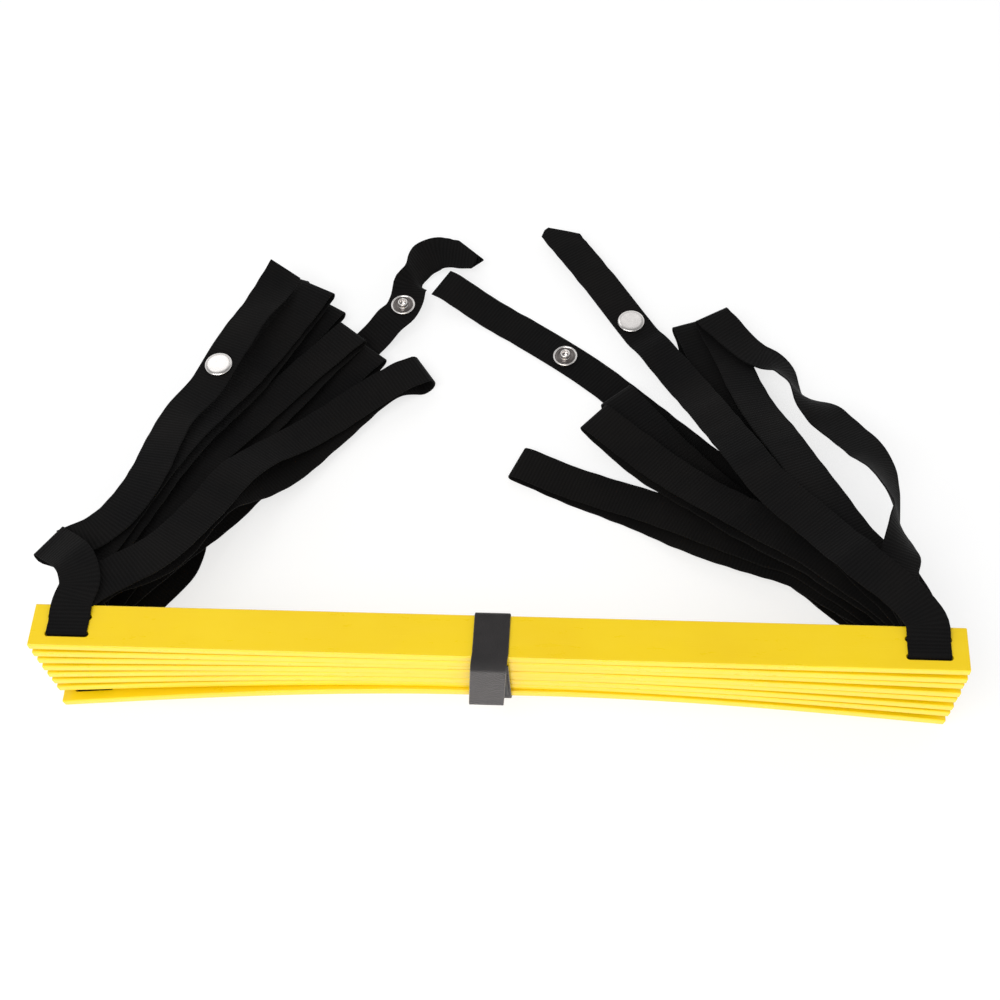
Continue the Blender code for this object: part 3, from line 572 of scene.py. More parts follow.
def run_rolls(heap, route, lateral, walked, slope, twist, snap_from_end):
    """The strap's roll at each station: the rung's slope at first, then the heap's and its twist."""
    reach = tilt_reach_share * strap_width
    left = heap_height(heap, route + reach * lateral)
    right = heap_height(heap, route - reach * lateral)
    tilt = np.clip(tilt_share * np.arctan2(left - right, 2 * reach), -most_tilt, most_tilt)
    from_end = walked[-1] - walked
    if snap_from_end is None:
        tilt *= np.clip(from_end / (3 * strap_step), 0, 1)
    else:
        tilt[np.abs(from_end - snap_from_end) < snap_seat + 2 * strap_step] = 0
    turned = np.radians(np.interp(progress_of(walked, snap_from_end), *zip(*twist)))
    near = ramp(walked, 5 * strap_step)
    return slope * (1 - near) + (eased(eased(tilt)) + turned) * near


def over_strip(half, finer, route, lateral, roll, heights):
    """Yields places all over a run of the given half width, a row along it at a time: the row's
    plan, its rise over the strap's middle, and the heights given for the middle."""
    for share in np.linspace(0, 1, finer * between_samples, endpoint=False):
        middle, sideways, rolls, high = (between(v, share) for v in (route, lateral, roll, heights))
        for u in np.linspace(-half, half, finer * across_samples):
            yield middle + u * np.cos(rolls)[:, None] * sideways, u * np.sin(rolls), high


def heights_needed(heap, route, lateral, roll, lifts):
    """The least height of the strap's middle at each station that clears the heap under it."""
    needed = np.full(len(route), strap_thickness / 2)
    half = strap_width / 2 + edge_margin
    for plan, rise, lifted in over_strip(half, 1, route, lateral, roll, lifts):
        over = heap_height(heap, plan) - rise + lifted + heap_gap + strap_thickness / 2
        needed[:-1] = np.maximum(needed[:-1], over)
        needed[1:] = np.maximum(needed[1:], over)
    return needed


def mark_heap(heap, route, lateral, roll, height):
    for plan, rise, middle in over_strip(strap_width / 2, 2, route, lateral, roll, height):
        raise_heap(heap, plan, middle + rise + strap_thickness / 2)


def lay_run(heap, start, slope, shares, lift, key, snap_from_end=None, heading=(0, 1)):
    """One run of strap from the stack's back edge, or from a fold, laid on the heap.

    start is its first point and slope the rung's, shares its route, and lift(distances from the
    far end) the height that the run must keep over the heap. The key finds its twist. A tail is
    level under its snap and stiff past it, and another run is level at its far end, where it
    folds. Returns the run's points, directions, laterals and rolls, and marks the heap.
    """
    route = [np.array(start[:2])] + [np.array(p) * rung_length for p in shares]
    route = smooth_route(route, np.array(heading))
    along, lateral = lateral_of(route)
    walked = lengths_along(route)
    from_end = walked[-1] - walked
    roll = run_rolls(heap, route, lateral, walked, slope, twists.get(key, untwisted), snap_from_end)
    needed = heights_needed(heap, route, lateral, roll, lift(from_end))
    seat = np.abs(from_end - (snap_from_end or -snap_seat)) < snap_seat
    needed[seat] = needed[seat].max(initial=0)
    fallen = ramp(walked, slow_hang_lengths.get(key, hang_length))
    height = draped(start[2] * (1 - fallen), needed)
    height[seat] = height[seat].max(initial=0)
    if snap_from_end is not None:
        past = np.clip(1 - from_end / snap_from_end, 0, 1)
        stiff = height[seat].max() * (1 - tip_droop_share * past * past)
        height[past > 0] = np.maximum(height, stiff)[past > 0]
    height[0] = start[2]
    mark_heap(heap, route, lateral, roll, height)
    if snap_from_end is None:
        raise_heap(heap, route[-1] + along[-1] * fold_opening, height[-1] + strap_thickness / 2)
    return np.column_stack([route, height]), along, lateral, roll


def run_stations(run):
    """Stations of a laid run, from the rungs outwards."""
    points, _, lateral, roll = run
    across = np.column_stack([lateral * np.cos(roll)[:, None], np.sin(roll)])
    return np.stack([points, across], axis=1)


def fold_stations(top, bottom, forward):
    """The half turn that joins two runs, from the point on the upper one to that on the lower
    one. Forward is where it bulges."""
    x, y = unit(forward)
    angles = np.linspace(0, math.pi, fold_steps + 1)[1:-1, None]
    bulge = np.sin(angles) * (x, y, 0) + np.cos(angles) * (0, 0, 1)
    points = (top + bottom + (top[2] - bottom[2]) * bulge) / 2
    return np.stack([points, np.tile((-y, x, 0), (len(points), 1))], axis=1)


def loop_line(runs):
    """Stations of a loop behind the stack, out along its upper run and back along its lower."""
    upper, lower = runs
    fold = fold_stations(upper[0][-1], lower[0][-1], upper[1][-1] + lower[1][-1])
    return np.concatenate([run_stations(upper)[1:], fold, run_stations(lower)[:0:-1]])


def tail_line(held, runs):
    """Stations of a tail, from those held in the rung to its free end. A tail of two runs folds
    under itself between them, so that its sides change places."""
    stations = np.concatenate([held, run_stations(runs[0])[1:]])
    if len(runs) == 1:
        return stations
    first, tail = runs
    fold = fold_stations(first[0][-1], tail[0][0], first[1][-1])
    turned = np.concatenate([stations, fold]) * [[1], [-1]]
    return np.concatenate([turned, run_stations(tail)])


def no_lift(from_end):
    return np.zeros(len(from_end))


def fold_lift(from_end):
    near = np.clip(1 - from_end / (3 * strap_step), 0, 1)
    return (fold_opening - strap_thickness) * near


def snap_lift(snap_from_end, height):
    """A lift that lets a tail clear the heap by what its snap has under it."""
    def lift(from_end):
        away = np.abs(from_end - snap_from_end)
        return (height + contact_gap) * np.clip(2.5 - away / (1.3 * strap_step), 0, 1)

    return lift


def tail_frame(run, from_end):
    """Axes at a point of a tail: X towards its free end, Y across it, Z up out of its face."""
    points, across = run_stations(run)[::-1].swapaxes(0, 1)
    walked = lengths_along(points)
    inner = np.searchsorted(walked, from_end)
    outer = inner - 1
    share = (from_end - walked[outer]) / (walked[inner] - walked[outer])
    along = unit(points[outer] - points[inner])
    up = unit(np.cross(along, across[outer]))
    place = points[outer] * (1 - share) + points[inner] * share
    axes = np.column_stack([along, np.cross(up, along), up, place])
    return Matrix([*axes.tolist(), (0, 0, 0, 1)])


def mark_stud(heap, run, snap_from_end):
    """Marks the stud on a lower tail, so that the loops over it stay clear of it."""
    frame = tail_frame(run, snap_from_end)
    top = frame.translation.z + strap_thickness / 2 + contact_gap + snap_stud_height
    for radius in np.linspace(0, snap_plate_radius, across_samples):
        for angle in np.linspace(0, 2 * math.pi, snap_segments):
            spot = frame @ Vector((radius * math.cos(angle), radius * math.sin(angle), 0))
            raise_heap(heap, np.array(spot[:2]), top)


def lay_side(heap, side):
    """Lays one side strap's runs from the bottom of the heap to its top."""
    bottom = rung_count - 1
    out = on_rung(bottom, side, path_out())[-1][0]
    tail = lay_tail(heap, side, "lower", out, slope_roll(bottom, side), snap_sheet)
    mark_stud(heap, tail, snaps_from_end[side, "lower"])
    runs = {"tail_lower": [tail]}
    for loop in range(bottom, 0, -1):
        end, upper_shares, lower_shares = loop_route_shares[side, loop]
        back = on_rung(loop, side, path_in())[0][0]
        out = on_rung(loop - 1, side, path_out())[-1][0]
        lower = lay_run(heap, back, slope_roll(loop, side), lower_shares + [end], no_lift, None)
        key = (side, "loop", loop)
        upper = lay_run(heap, out, slope_roll(loop - 1, side), upper_shares + [end], fold_lift, key)
        runs[f"loop_{loop}"] = [upper, lower]
    runs["tail_upper"] = lay_upper_tail(heap, side)
    return runs


def lay_tail(heap, side, place, start, slope, under, heading=(0, 1)):
    """A tail's run. It clears the heap by the height of what its snap has under it."""
    shares, snap = tail_route_shares[side, place], snaps_from_end[side, place]
    lift = snap_lift(snap, under)
    return lay_run(heap, start, slope, shares, lift, (side, "tail", place), snap, heading)


def lay_upper_tail(heap, side):
    """The upper tail. Where it folds under itself, its run from the rung lies on the other one."""
    start, slope = on_rung(0, side, path_in())[0][0], slope_roll(0, side)
    to_fold = fold_route_shares.get((side, "upper"))
    if not to_fold:
        return [lay_tail(heap, side, "upper", start, slope, snap_socket_height)]
    before, fold = (np.array(place) * rung_length for place in to_fold[-2:])
    back = unit(before - fold)
    tail = lay_tail(heap, side, "upper", (*fold, fold_height), 0.0, snap_socket_height, back)
    first = lay_run(heap, start, slope, to_fold, fold_lift, (side, "fold", "upper"))
    return [first, tail]


# The band's lines

def band_bounds():
    """Front, back, bottom and top of the band's inner side."""
    edges = []
    for index in range(rung_count):
        for x in (band_x - flat_half_length, band_x + flat_half_length):
            for y in (-rung_width / 2, rung_width / 2):
                edges.append((rung_placement(index) @ Vector((x, y, 0))).y)
    front, back = min(edges) - band_clearance, max(edges) + band_clearance
    bottom = middle_height(rung_count - 1, band_x) - rung_thickness / 2
    return front, back, bottom - contact_gap, stack_height() + contact_gap


def offset_line(line, thickness):
    """The line (y, z) on the outer side of a strip of even thickness."""
    padded = np.concatenate([line[:1], line, line[-1:]])
    along = unit(padded[2:] - padded[:-2])
    return line + thickness * along[:, ::-1] * (1, -1)


def ring_line():
    """The ring's inner side: down the front of the stack, under it, up its back and over its top
    to the place where the loose end goes on."""
    front, back, bottom, top = band_bounds()
    radius = band_corner_radius
    line = [(front, top - band_turn_height)]
    line += arc((front + radius, bottom + radius), (radius, radius), math.pi)
    line += arc((back - radius, bottom + radius), (radius, radius), 1.5 * math.pi)
    line += arc((back - radius, top - radius), (radius, radius), 0)
    return line + [(front + band_turn_depth, top)]


def flap_line():
    """The loose end's inner side: over the top front corner and down in front of the ring."""
    front, _, bottom, top = band_bounds()
    hang = front - band_thickness - 2 * patch_thickness - 3 * contact_gap
    turn = (front + band_corner_radius, top - band_turn_height)
    line = [(front + band_turn_depth - contact_gap, top)]
    line += arc(turn, (turn[0] - hang, band_turn_height), math.pi / 2)
    return line + [(hang, bottom - band_flap_overhang)]


# Materials: each one's function makes its nodes and gives the inputs of its Principled shader

def set_inputs(tree, node, inputs):
    """Sets a node's inputs, each to a value or to the socket that feeds it."""
    for name, value in inputs.items():
        if isinstance(value, bpy.types.NodeSocket):
            tree.links.new(value, node.inputs[name])
        else:
            node.inputs[name].default_value = value


def assign(thing, **settings):
    for name, value in settings.items():
        setattr(thing, name, value)


def add_node(tree, kind, inputs, **settings):
    made = tree.nodes.new(kind)
    assign(made, **settings)
    set_inputs(tree, made, inputs)
    return made


def new_material(name, inputs_of):
    material = bpy.data.materials.new(name)
    material.use_nodes = True
    tree = material.node_tree
    set_inputs(tree, tree.nodes["Principled BSDF"], inputs_of(tree))
    return material


def attribute(tree, name, output):
    """An attribute of the mesh, as the output of that name."""
    return add_node(tree, "ShaderNodeAttribute", {}, attribute_name=name).outputs[output]


def stretched(tree, scale=(1, 1, 1)):
    """The object's own coordinates in metres, multiplied by a scale for each axis."""
    place = add_node(tree, "ShaderNodeTexCoord", {}).outputs["Object"]
    return add_node(tree, "ShaderNodeMapping", {"Vector": place, "Scale": scale}).outputs["Vector"]


def noise(tree, scale, detail=3.0, roughness=0.55, stretch=(1, 1, 1)):
    """Noise whose features are about 1/scale metres long."""
    inputs = {"Vector": stretched(tree, stretch), "Scale": scale, "Detail": detail}
    inputs["Roughness"] = roughness
    return add_node(tree, "ShaderNodeTexNoise", inputs).outputs["Fac"]


def remap(tree, value, low, high, to_low=0, to_high=1):
    inputs = {"Value": value, "From Min": low, "From Max": high, "To Min": to_low, "To Max": to_high}
    return add_node(tree, "ShaderNodeMapRange", inputs).outputs["Result"]


def mixed(tree, share, first, second):
    """A colour between two, by a share."""
    inputs = {"Factor": share, "A": (*first, 1), "B": (*second, 1)}
    return add_node(tree, "ShaderNodeMix", inputs, data_type="RGBA").outputs["Result"]


def mottled(tree, scale, first, second, low=0.35):
    """A colour that varies slowly between two."""
    return mixed(tree, remap(tree, noise(tree, scale), low, 1 - low), first, second)


def maths(tree, operation, first, second=0.0):
    return add_node(tree, "ShaderNodeMath", {0: first, 1: second}, operation=operation).outputs["Value"]


def wave(tree, value, pitch):
    return maths(tree, "SINE", maths(tree, "MULTIPLY", value, 2 * math.pi / pitch))


def bump(tree, height, distance, normal=None, strength=1.0):
    inputs = {"Height": height, "Distance": distance, "Strength": strength}
    if normal:
        inputs["Normal"] = normal
    return add_node(tree, "ShaderNodeBump", inputs).outputs["Normal"]


def plastic_inputs(tree):
    """Satin yellow plastic, with slow colour variation, scuffs and scratches along the rungs."""
    scuffs = noise(tree, 260, 6, 0.7, (0.25, 1, 1))
    scratches = noise(tree, 900, 2, 0.5, (0.03, 1, 1))
    flow = noise(tree, 45, 2, 0.5, (0.4, 1, 1))
    fine = bump(tree, remap(tree, scratches, 0.62, 0.8), scratch_depth)
    return {
        "Base Color": mottled(tree, 18, (0.94, 0.66, 0.003), (0.91, 0.62, 0.002)),
        "Coat Weight": 0.35,
        "Coat Roughness": 0.12,
        "Roughness": remap(tree, scuffs, 0.3, 0.75, 0.24, 0.44),
        "Normal": bump(tree, flow, flow_depth, fine, 0.35),
    }


def webbing_inputs(tree):
    """Black ribbed webbing. Its weave follows the strap, by the attribute of that name."""
    parts = add_node(tree, "ShaderNodeSeparateXYZ", {"Vector": attribute(tree, "weave", "Vector")})
    along, across = parts.outputs["X"], parts.outputs["Y"]
    column = maths(tree, "FLOOR", maths(tree, "DIVIDE", across, warp_pitch))
    shifted = maths(tree, "ADD", maths(tree, "MULTIPLY", column, rib_pitch / 4), along)
    picks = maths(tree, "MULTIPLY", wave(tree, shifted, rib_pitch / 2), 0.3)
    threads = maths(tree, "MULTIPLY", wave(tree, across, warp_pitch), 0.2)
    height = maths(tree, "ADD", wave(tree, along, rib_pitch), maths(tree, "ADD", picks, threads))
    woven = bump(tree, height, weave_depth)
    return {
        "Base Color": mottled(tree, 30, (0.0016, 0.0015, 0.0017), (0.0036, 0.0031, 0.0029)),
        "Specular IOR Level": 0.14,
        "Sheen Weight": 0.02,
        "Sheen Roughness": 0.4,
        "Roughness": remap(tree, height, -1.3, 1.3, 0.95, 0.72),
        "Normal": bump(tree, noise(tree, 2200, 2), fuzz_depth, woven, 0.7),
    }


def band_inputs(tree):
    """The brushed side of hook-and-loop tape: matt, with short fluff."""
    loops = add_node(tree, "ShaderNodeTexVoronoi", {"Vector": stretched(tree), "Scale": 1300})
    matted = bump(tree, loops.outputs["Distance"], pile_depth, None, 0.6)
    return {
        "Base Color": mottled(tree, 120, (0.008, 0.0066, 0.0068), (0.014, 0.0116, 0.0118), 0.3),
        "Roughness": 0.8,
        "Sheen Weight": 0.8,
        "Sheen Roughness": 0.35,
        "Sheen Tint": (0.95, 0.90, 0.90, 1),
        "Normal": bump(tree, noise(tree, 1500, 4, 0.7), fluff_depth, matted, 0.6),
    }


def patch_inputs(tree):
    """Black nylon of the hook and loop patches."""
    return {
        "Base Color": mixed(tree, noise(tree, 400), (0.010, 0.010, 0.011), (0.022, 0.021, 0.022)),
        "Sheen Weight": 0.2,
        "Roughness": remap(tree, noise(tree, 900), 0.3, 0.7, 0.5, 0.9),
        "Normal": bump(tree, noise(tree, 1800, 4, 0.7), fluff_depth),
    }


def nickel_inputs(tree):
    """Bright nickel plate with fine handling marks, and painted shade: dull and dark where a piece has a
    recess.
    """
    # The recess is painted dark as shade, and the handling marks darken the plate at random.
    recess = maths(tree, "MULTIPLY", attribute(tree, "recess", "Fac"), 0.9)
    worn = maths(tree, "MULTIPLY", noise(tree, 350), 0.2)
    groove_shade_and_marks = maths(tree, "MAXIMUM", recess, worn)
    return {
        "Base Color": mixed(tree, groove_shade_and_marks, (0.90, 0.87, 0.85), (0.10, 0.085, 0.08)),
        "Metallic": 1.0,
        "Roughness": remap(tree, noise(tree, 1400, 5, 0.7), 0.3, 0.8, 0.17, 0.30),
    }


def floor_inputs(tree):
    """The floor is a light table: it glows, so that the shadows on it stay faint."""
    return {
        "Base Color": mixed(tree, noise(tree, 2), (0.34, 0.34, 0.34), (0.36, 0.36, 0.36)),
        "Roughness": 0.9,
        "Emission Color": (1, 1, 1, 1),
        "Emission Strength": floor_glow,
    }


# Building pieces

def frame_matrix():
    """From the middle of the stack's footprint to the frame. The top rung is straight and level,
    and the middle of its box is the stack's."""
    low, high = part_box("rung_1")
    return Matrix.Translation(((low.x + high.x) / 2, (low.y + high.y) / 2, high.z - stack_height()))


def linked(name, data):
    """A new object in the scene that shows the data."""
    made = bpy.data.objects.new(name, data)
    bpy.context.scene.collection.objects.link(made)
    return made


def linked_mesh(name, points, faces, matrix=Matrix()):
    mesh = bpy.data.meshes.new(name)
    mesh.from_pydata([tuple(p) for p in points], [], faces)
    mesh.transform(matrix)
    return linked(name, mesh)


def add_piece(name, points, faces, material, matrix, slot, body=None, replaces=()):
    """A piece whose points are given in the frame of its matrix. It stands for the CAD nodes that it
    replaces, and takes the material given. Its slot is not used."""
    made = linked_mesh(name, points, faces, to_frame @ matrix)
    mesh = made.data
    work = bmesh.new()
    work.from_mesh(mesh)
    bmesh.ops.recalc_face_normals(work, faces=work.faces)
    work.to_mesh(mesh)
    work.free()
    mesh.shade_smooth()
    mesh.set_sharp_from_angle(angle=sharp_angle)
    mesh.materials.append(material)
    if body:
        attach(made, body)
    if replaces:
        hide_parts(*replaces)
    return made


def loft(sections):
    """Points and faces of a closed body through rings of equal count, with flat ends."""
    count = len(sections[0])
    points = [p for section in sections for p in section]
    last = len(points) - count
    faces = [tuple(range(count))]
    for start in range(0, last, count):
        for i in range(count):
            j = (i + 1) % count
            faces.append((start + i, start + j, start + count + j, start + count + i))
    return points, faces + [tuple(range(len(points) - 1, last - 1, -1))]


def rounded(profile, rounds=2):
    """The open outline with its corners cut off, in rounds, so that it turns smoothly."""
    profile = np.array(profile)
    for _ in range(rounds):
        start, end = profile[:-1], profile[1:]
        cut = np.stack([0.75 * start + 0.25 * end, 0.25 * start + 0.75 * end], axis=1)
        profile = np.concatenate([profile[:1], cut.reshape(-1, 2), profile[-1:]])
    return profile.tolist()


def lathe(profile):
    """Points and faces of a turned body. The profile (radius, z) is a closed outline, and its
    points on the axis become one point each."""
    points, rings = [], []
    for radius, z in profile:
        count = snap_segments if radius else 1
        rings.append([len(points) + i % count for i in range(snap_segments)])
        for i in range(count):
            angle = 2 * math.pi * i / count
            points.append((radius * math.cos(angle), radius * math.sin(angle), z))
    if profile[0][0] > 0:
        rings.append(rings[0])
    faces = []
    for lower, upper in zip(rings, rings[1:]):
        for i in range(snap_segments):
            j = (i + 1) % snap_segments
            faces.append(tuple(dict.fromkeys([lower[i], lower[j], upper[j], upper[i]])))
    return points, faces


# Rungs

def slot_cutter(name, placed, y):
    """A hidden body in the shape of a slot."""
    half = (slot_length - slot_width) / 2
    radii = (slot_width / 2, slot_width / 2)
    outline = arc((half, y), radii, -math.pi / 2, math.pi, slot_end_steps)
    outline += arc((-half, y), radii, math.pi / 2, math.pi, slot_end_steps)
    sections = [[(px, py, pz) for px, py in outline] for pz in (-rung_thickness, rung_thickness)]
    made = linked_mesh(name, *loft(sections), to_frame @ placed)
    assign(made, hide_render=True, hide_viewport=True)
    return made


def make_rung(index, material):
    line = rung_centreline(index)
    if index == 0:
        line = [line[0], line[-1]]
    sections = []
    for x, z in line:
        slope = math.atan(rung_slope(index, x))
        section = []
        for y, rise in rung_outline():
            along = x - band_x - rise * math.sin(slope)
            section.append((along, y + rung_shifts[index], z + rise * math.cos(slope)))
        sections.append(section)
    node = f"rung_{index + 1}"
    body = loft(sections)
    pivot = rung_pivot(index)
    rung = add_piece(f"moulded_{node}", *body, material, pivot, "rung_plastic", node, [node])
    for side in ("left", "right"):
        for place, y in (("front", -slot_centre_y), ("back", slot_centre_y)):
            cutter = slot_cutter(f"slot_{index + 1}_{side}_{place}", slot_frame(index, side), y)
            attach(cutter, node)
            modifier = rung.modifiers.new(cutter.name, "BOOLEAN")
            assign(modifier, operation="DIFFERENCE", solver="EXACT", object=cutter)
    rims = rung.modifiers.new("rims", "BEVEL")
    assign(rims, width=rung_rim_radius, segments=2, limit_method="ANGLE", angle_limit=sharp_angle)
    rung.modifiers.new("shading", "WEIGHTED_NORMAL")


# Webbing

def refined(values, walked, fine):
    """Values at finer lengths, on smooth curves through those at the stations."""
    slopes = np.gradient(values, walked, axis=0)
    before = np.clip(np.searchsorted(walked, fine, "right") - 1, 0, len(walked) - 2)
    span = (walked[before + 1] - walked[before])[:, None]
    t = (fine - walked[before])[:, None] / span
    start, end = values[before], values[before + 1]
    leave, arrive = slopes[before] * span, slopes[before + 1] * span
    square, cube = t * t, t * t * t
    first = (2 * cube - 3 * square + 1) * start + (cube - 2 * square + t) * leave
    return first + (3 * square - 2 * cube) * end + (cube - square) * arrive


def waves(fine, seed):
    """A slow irregular wave along the strap, between about -1 and 1."""
    phases = np.random.default_rng(seed).uniform(0, 2 * math.pi, len(ripple_lengths))
    turns = 2 * math.pi * np.divide.outer(fine, ripple_lengths) + phases
    return np.sin(turns).mean(axis=-1)


def webbing_section():
    """The webbing's section (across, up), once round: flat, with a thicker selvedge."""
    rim = [(u * strap_width / 2, v * strap_thickness / 2) for u, v in webbing_section_shares]
    return np.array(rim + [(u, -v) for u, v in rim[-2:0:-1]])


def tip_shift(fine, section, cut):
    """How far each point lies back from where a square cut end would have it. The cut is given as
    (across, back), with the strap from -1 to 1 across."""
    places, backs = zip(*cut)
    back = np.interp(section[:, 0] / (strap_width / 2), places, backs)
    return back * np.clip(1 - fine / tip_reach, 0, 1)[:, None]


def make_webbing(name, stations, seed, calm, material, cut=square_cut):
    """A length of webbing through stations. The calm lengths (start, end) have no ripples, because
    the strap is held there. Its first end is cut as given."""
    walked = lengths_along(stations[:, 0])
    fine = finer_lengths(walked, webbing_step, round)
    points, sides = (refined(stations[:, i], walked, fine) for i in range(2))
    along = unit(np.gradient(points, fine, axis=0))
    across = unit(sides - np.sum(sides * along, axis=1, keepdims=True) * along)
    normal = np.cross(along, across)
    free = np.ones(len(fine))
    for start, end in calm:
        away = np.maximum(np.maximum(start - fine, fine - end), 0)
        free = np.minimum(free, np.clip(away / strap_width, 0, 1))
    section = webbing_section()
    ripple = ripple_height * free[:, None] * np.column_stack([waves(fine, seed), waves(fine, seed + 1)])
    wander = edge_wander * free * waves(fine, seed + 2)
    left = 0.5 + section[:, 0] / strap_width
    lift = ripple[:, :1] * left + ripple[:, 1:] * (1 - left) + section[:, 1]
    outward = section[:, 0] + wander[:, None]
    back = tip_shift(fine, section, cut)
    rings = points[:, None] + across[:, None] * outward[..., None] + normal[:, None] * lift[..., None]
    rings = rings + along[:, None] * back[..., None]
    piece = add_piece(f"webbing_{name}", *loft(rings.tolist()), material, Matrix(), "strap_webbing",
                      None, [f"strap_{name}"])
    weave = piece.data.attributes.new("weave", "FLOAT_VECTOR", "POINT")
    lengthwise = (fine[:, None] + back).ravel()
    crosswise = np.tile(section[:, 0] + strap_width, len(fine))
    places = np.column_stack([lengthwise, crosswise, np.zeros(len(lengthwise))])
    weave.data.foreach_set("vector", places.ravel())
    return piece


def make_loop(side, loop, runs, seed, material):
    """A loop between two rungs."""
    out = on_rung(loop - 1, side, path_out())
    back = on_rung(loop, side, path_in())
    stations = np.concatenate([out, loop_line(runs), back])
    walked = lengths_along(stations[:, 0])
    calm = [(0, walked[len(out)]), (walked[-len(back)], walked[-1])]
    piece = make_webbing(f"{side}_loop_{loop}", stations, seed, calm, material)
    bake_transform(piece)


def make_tail(side, place, runs, seed, material):
    """A strap's end length."""
    snap, bend = snaps_from_end[side, place], tail_bend_before_snap[place]
    if place == "upper":
        rung, held = 0, on_rung(0, side, path_in())[::-1]
    else:
        rung, held = rung_count - 1, on_rung(rung_count - 1, side, path_out())
    stations = tail_line(held, runs)[::-1]
    walked = lengths_along(stations[:, 0])
    calm = [(snap - snap_seat, snap + snap_seat), (walked[-len(held)], walked[-1])]
    cut = tip_cuts.get((side, place), square_cut)
    piece = make_webbing(f"{side}_tail_{place}", stations, seed, calm, material, cut)
    frame_there = tail_frame(runs[-1], snap + bend)
    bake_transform(piece)


# Snap fasteners

def scaled(shares, radius, height):
    return [(radius * r, height * z) for r, z in shares]


def post_profile(length):
    return [(snap_post_radius, 0), (snap_post_radius, -length), (0, -length)]


def cap_profile(post_length):
    """A flat cap with a rounded edge, turned in under itself, and a post."""
    dome_shares = [
        (0, 1), (0.5, 0.99), (0.84, 0.9), (0.97, 0.62), (1, 0.35), (0.985, 0.06), (0.93, 0), (0.9, 0.02),
    ]
    return rounded(scaled(dome_shares, snap_cap_radius, snap_cap_rise)) + post_profile(post_length)


def eyelet_profile(post_length):
    """A washer with a pressed ring and a rounded edge, and the post through it."""
    plate_shares = [
        (0, 0.55), (0.16, 0.6), (0.24, 1), (0.36, 1), (0.42, 0.7), (0.7, 0.7), (0.8, 1), (0.93, 0.95),
        (1, 0.5), (0.97, 0),
    ]
    return rounded(scaled(plate_shares, snap_eyelet_radius, snap_sheet)) + post_profile(post_length)


def stud_profile():
    """A plate with a rolled rim and a pressed ring, and the stud standing in its middle."""
    plate_shares = [
        (0.94, 0), (1, 0.6), (0.995, 1.5), (0.95, 2.2), (0.88, 2.1), (0.83, 1.3), (0.78, 1),
        (0.72, 1.15), (0.66, 1.55), (0.60, 1.2), (0.54, 1),
    ]
    ball_shares = [(0.92, 0.3), (0.9, 0.55), (1, 0.76), (0.96, 0.93), (0.82, 1), (0.68, 0.95)]
    bore = snap_post_radius + contact_gap
    outline = scaled(plate_shares, snap_plate_radius, snap_sheet)
    outline += [(1.1 * snap_stud_radius, snap_sheet)]
    outline += scaled(ball_shares, snap_stud_radius, snap_stud_height)
    return [(bore, 0)] + rounded(outline + [(bore, 0.8 * snap_stud_height)])


def socket_profile():
    """A socket with a rolled rim and a collar round the hollow that takes the stud."""
    outer_shares = [
        (0.92, 0), (1, 0.12), (1, 0.36), (0.94, 0.52), (0.84, 0.5), (0.78, 0.62), (0.74, 0.9),
        (0.68, 1), (0.58, 0.97), (0.54, 0.8),
    ]
    bore = snap_post_radius + contact_gap
    outline = scaled(outer_shares, snap_socket_radius, snap_socket_height)
    outline += [(0.53 * snap_socket_radius, snap_sheet)]
    return [(bore, 0)] + rounded(outline) + [(bore, snap_sheet)]


def spring_profile():
    """The round wire of the spring ring in the socket."""
    centre = (spring_ring_radius, 0.6 * snap_socket_height)
    radii = (spring_wire_radius, spring_wire_radius)
    return arc(centre, radii, 0, 2 * math.pi, spring_wire_segments)[:-1]


def in_recess(point):
    """Whether a point of the stud's piece is in the groove between the rolled rim and the stud, where
    painted shade goes.
    """
    x, y, z = point
    inner, outer = stud_recess_shares
    return z > 0 and inner * snap_stud_radius < math.hypot(x, y) < outer * snap_plate_radius


def make_snap(side, place, run, material):
    seat = tail_frame(run, snaps_from_end[side, place])
    face = strap_thickness / 2 + contact_gap
    above = seat @ Matrix.Translation((0, 0, face))
    below = seat @ Matrix.Rotation(math.pi, 4, "X") @ Matrix.Translation((0, 0, face))
    post_length = 2 * face + snap_sheet + contact_gap
    if place == "upper":
        pieces = [
            ("cap", cap_profile(post_length), above),
            ("socket", socket_profile(), below),
            ("spring", spring_profile(), below),
        ]
    else:
        pieces = [("stud", stud_profile(), above), ("eyelet", eyelet_profile(post_length), below)]
    end = f"{side}_{place}"
    for piece, profile, placed in pieces:
        points, faces = lathe(profile)
        made = add_piece(f"{end}_snap_{piece}", points, faces, material, placed, "snap_nickel",
                         f"{end}_end", [f"snap_{end}_{piece}"])
        # The stud's groove is marked for painted shade in the nickel.
        if piece == "stud":
            recess = made.data.attributes.new("recess", "FLOAT", "POINT")
            recess.data.foreach_set("value", [float(in_recess(point)) for point in points])


# The band

def finer_line(line):
    """The line (y, z) with further points, at most a band's step apart."""
    line = np.array(line)
    walked = lengths_along(line)
    return points_at(line, walked, finer_lengths(walked, band_step, math.ceil))


def tape_body(line, half_width, sideways=0.0, straight=0, thickness=band_thickness):
    """Points and faces of a tape along the line (y, z), with rounded edges. Past its first straight
    points it runs off sideways, by the given length at its far end."""
    straight_length = lengths_along(line)[max(straight - 1, 0)]
    line = finer_line(line)
    walked = lengths_along(line)
    drift = np.clip((walked - straight_length) / (walked[-1] - straight_length), 0, 1) * sideways
    inset = half_width - band_edge_radius
    rim = [(-inset, 0), (inset, 0), (half_width, 0.5), (inset, 1), (-inset, 1), (-half_width, 0.5)]
    outer = offset_line(line, thickness)
    sections = []
    for inside, outside, shift in zip(line, outer, drift):
        sections.append([(x + shift, *(inside + (outside - inside) * s)) for x, s in rim])
    return loft(sections)


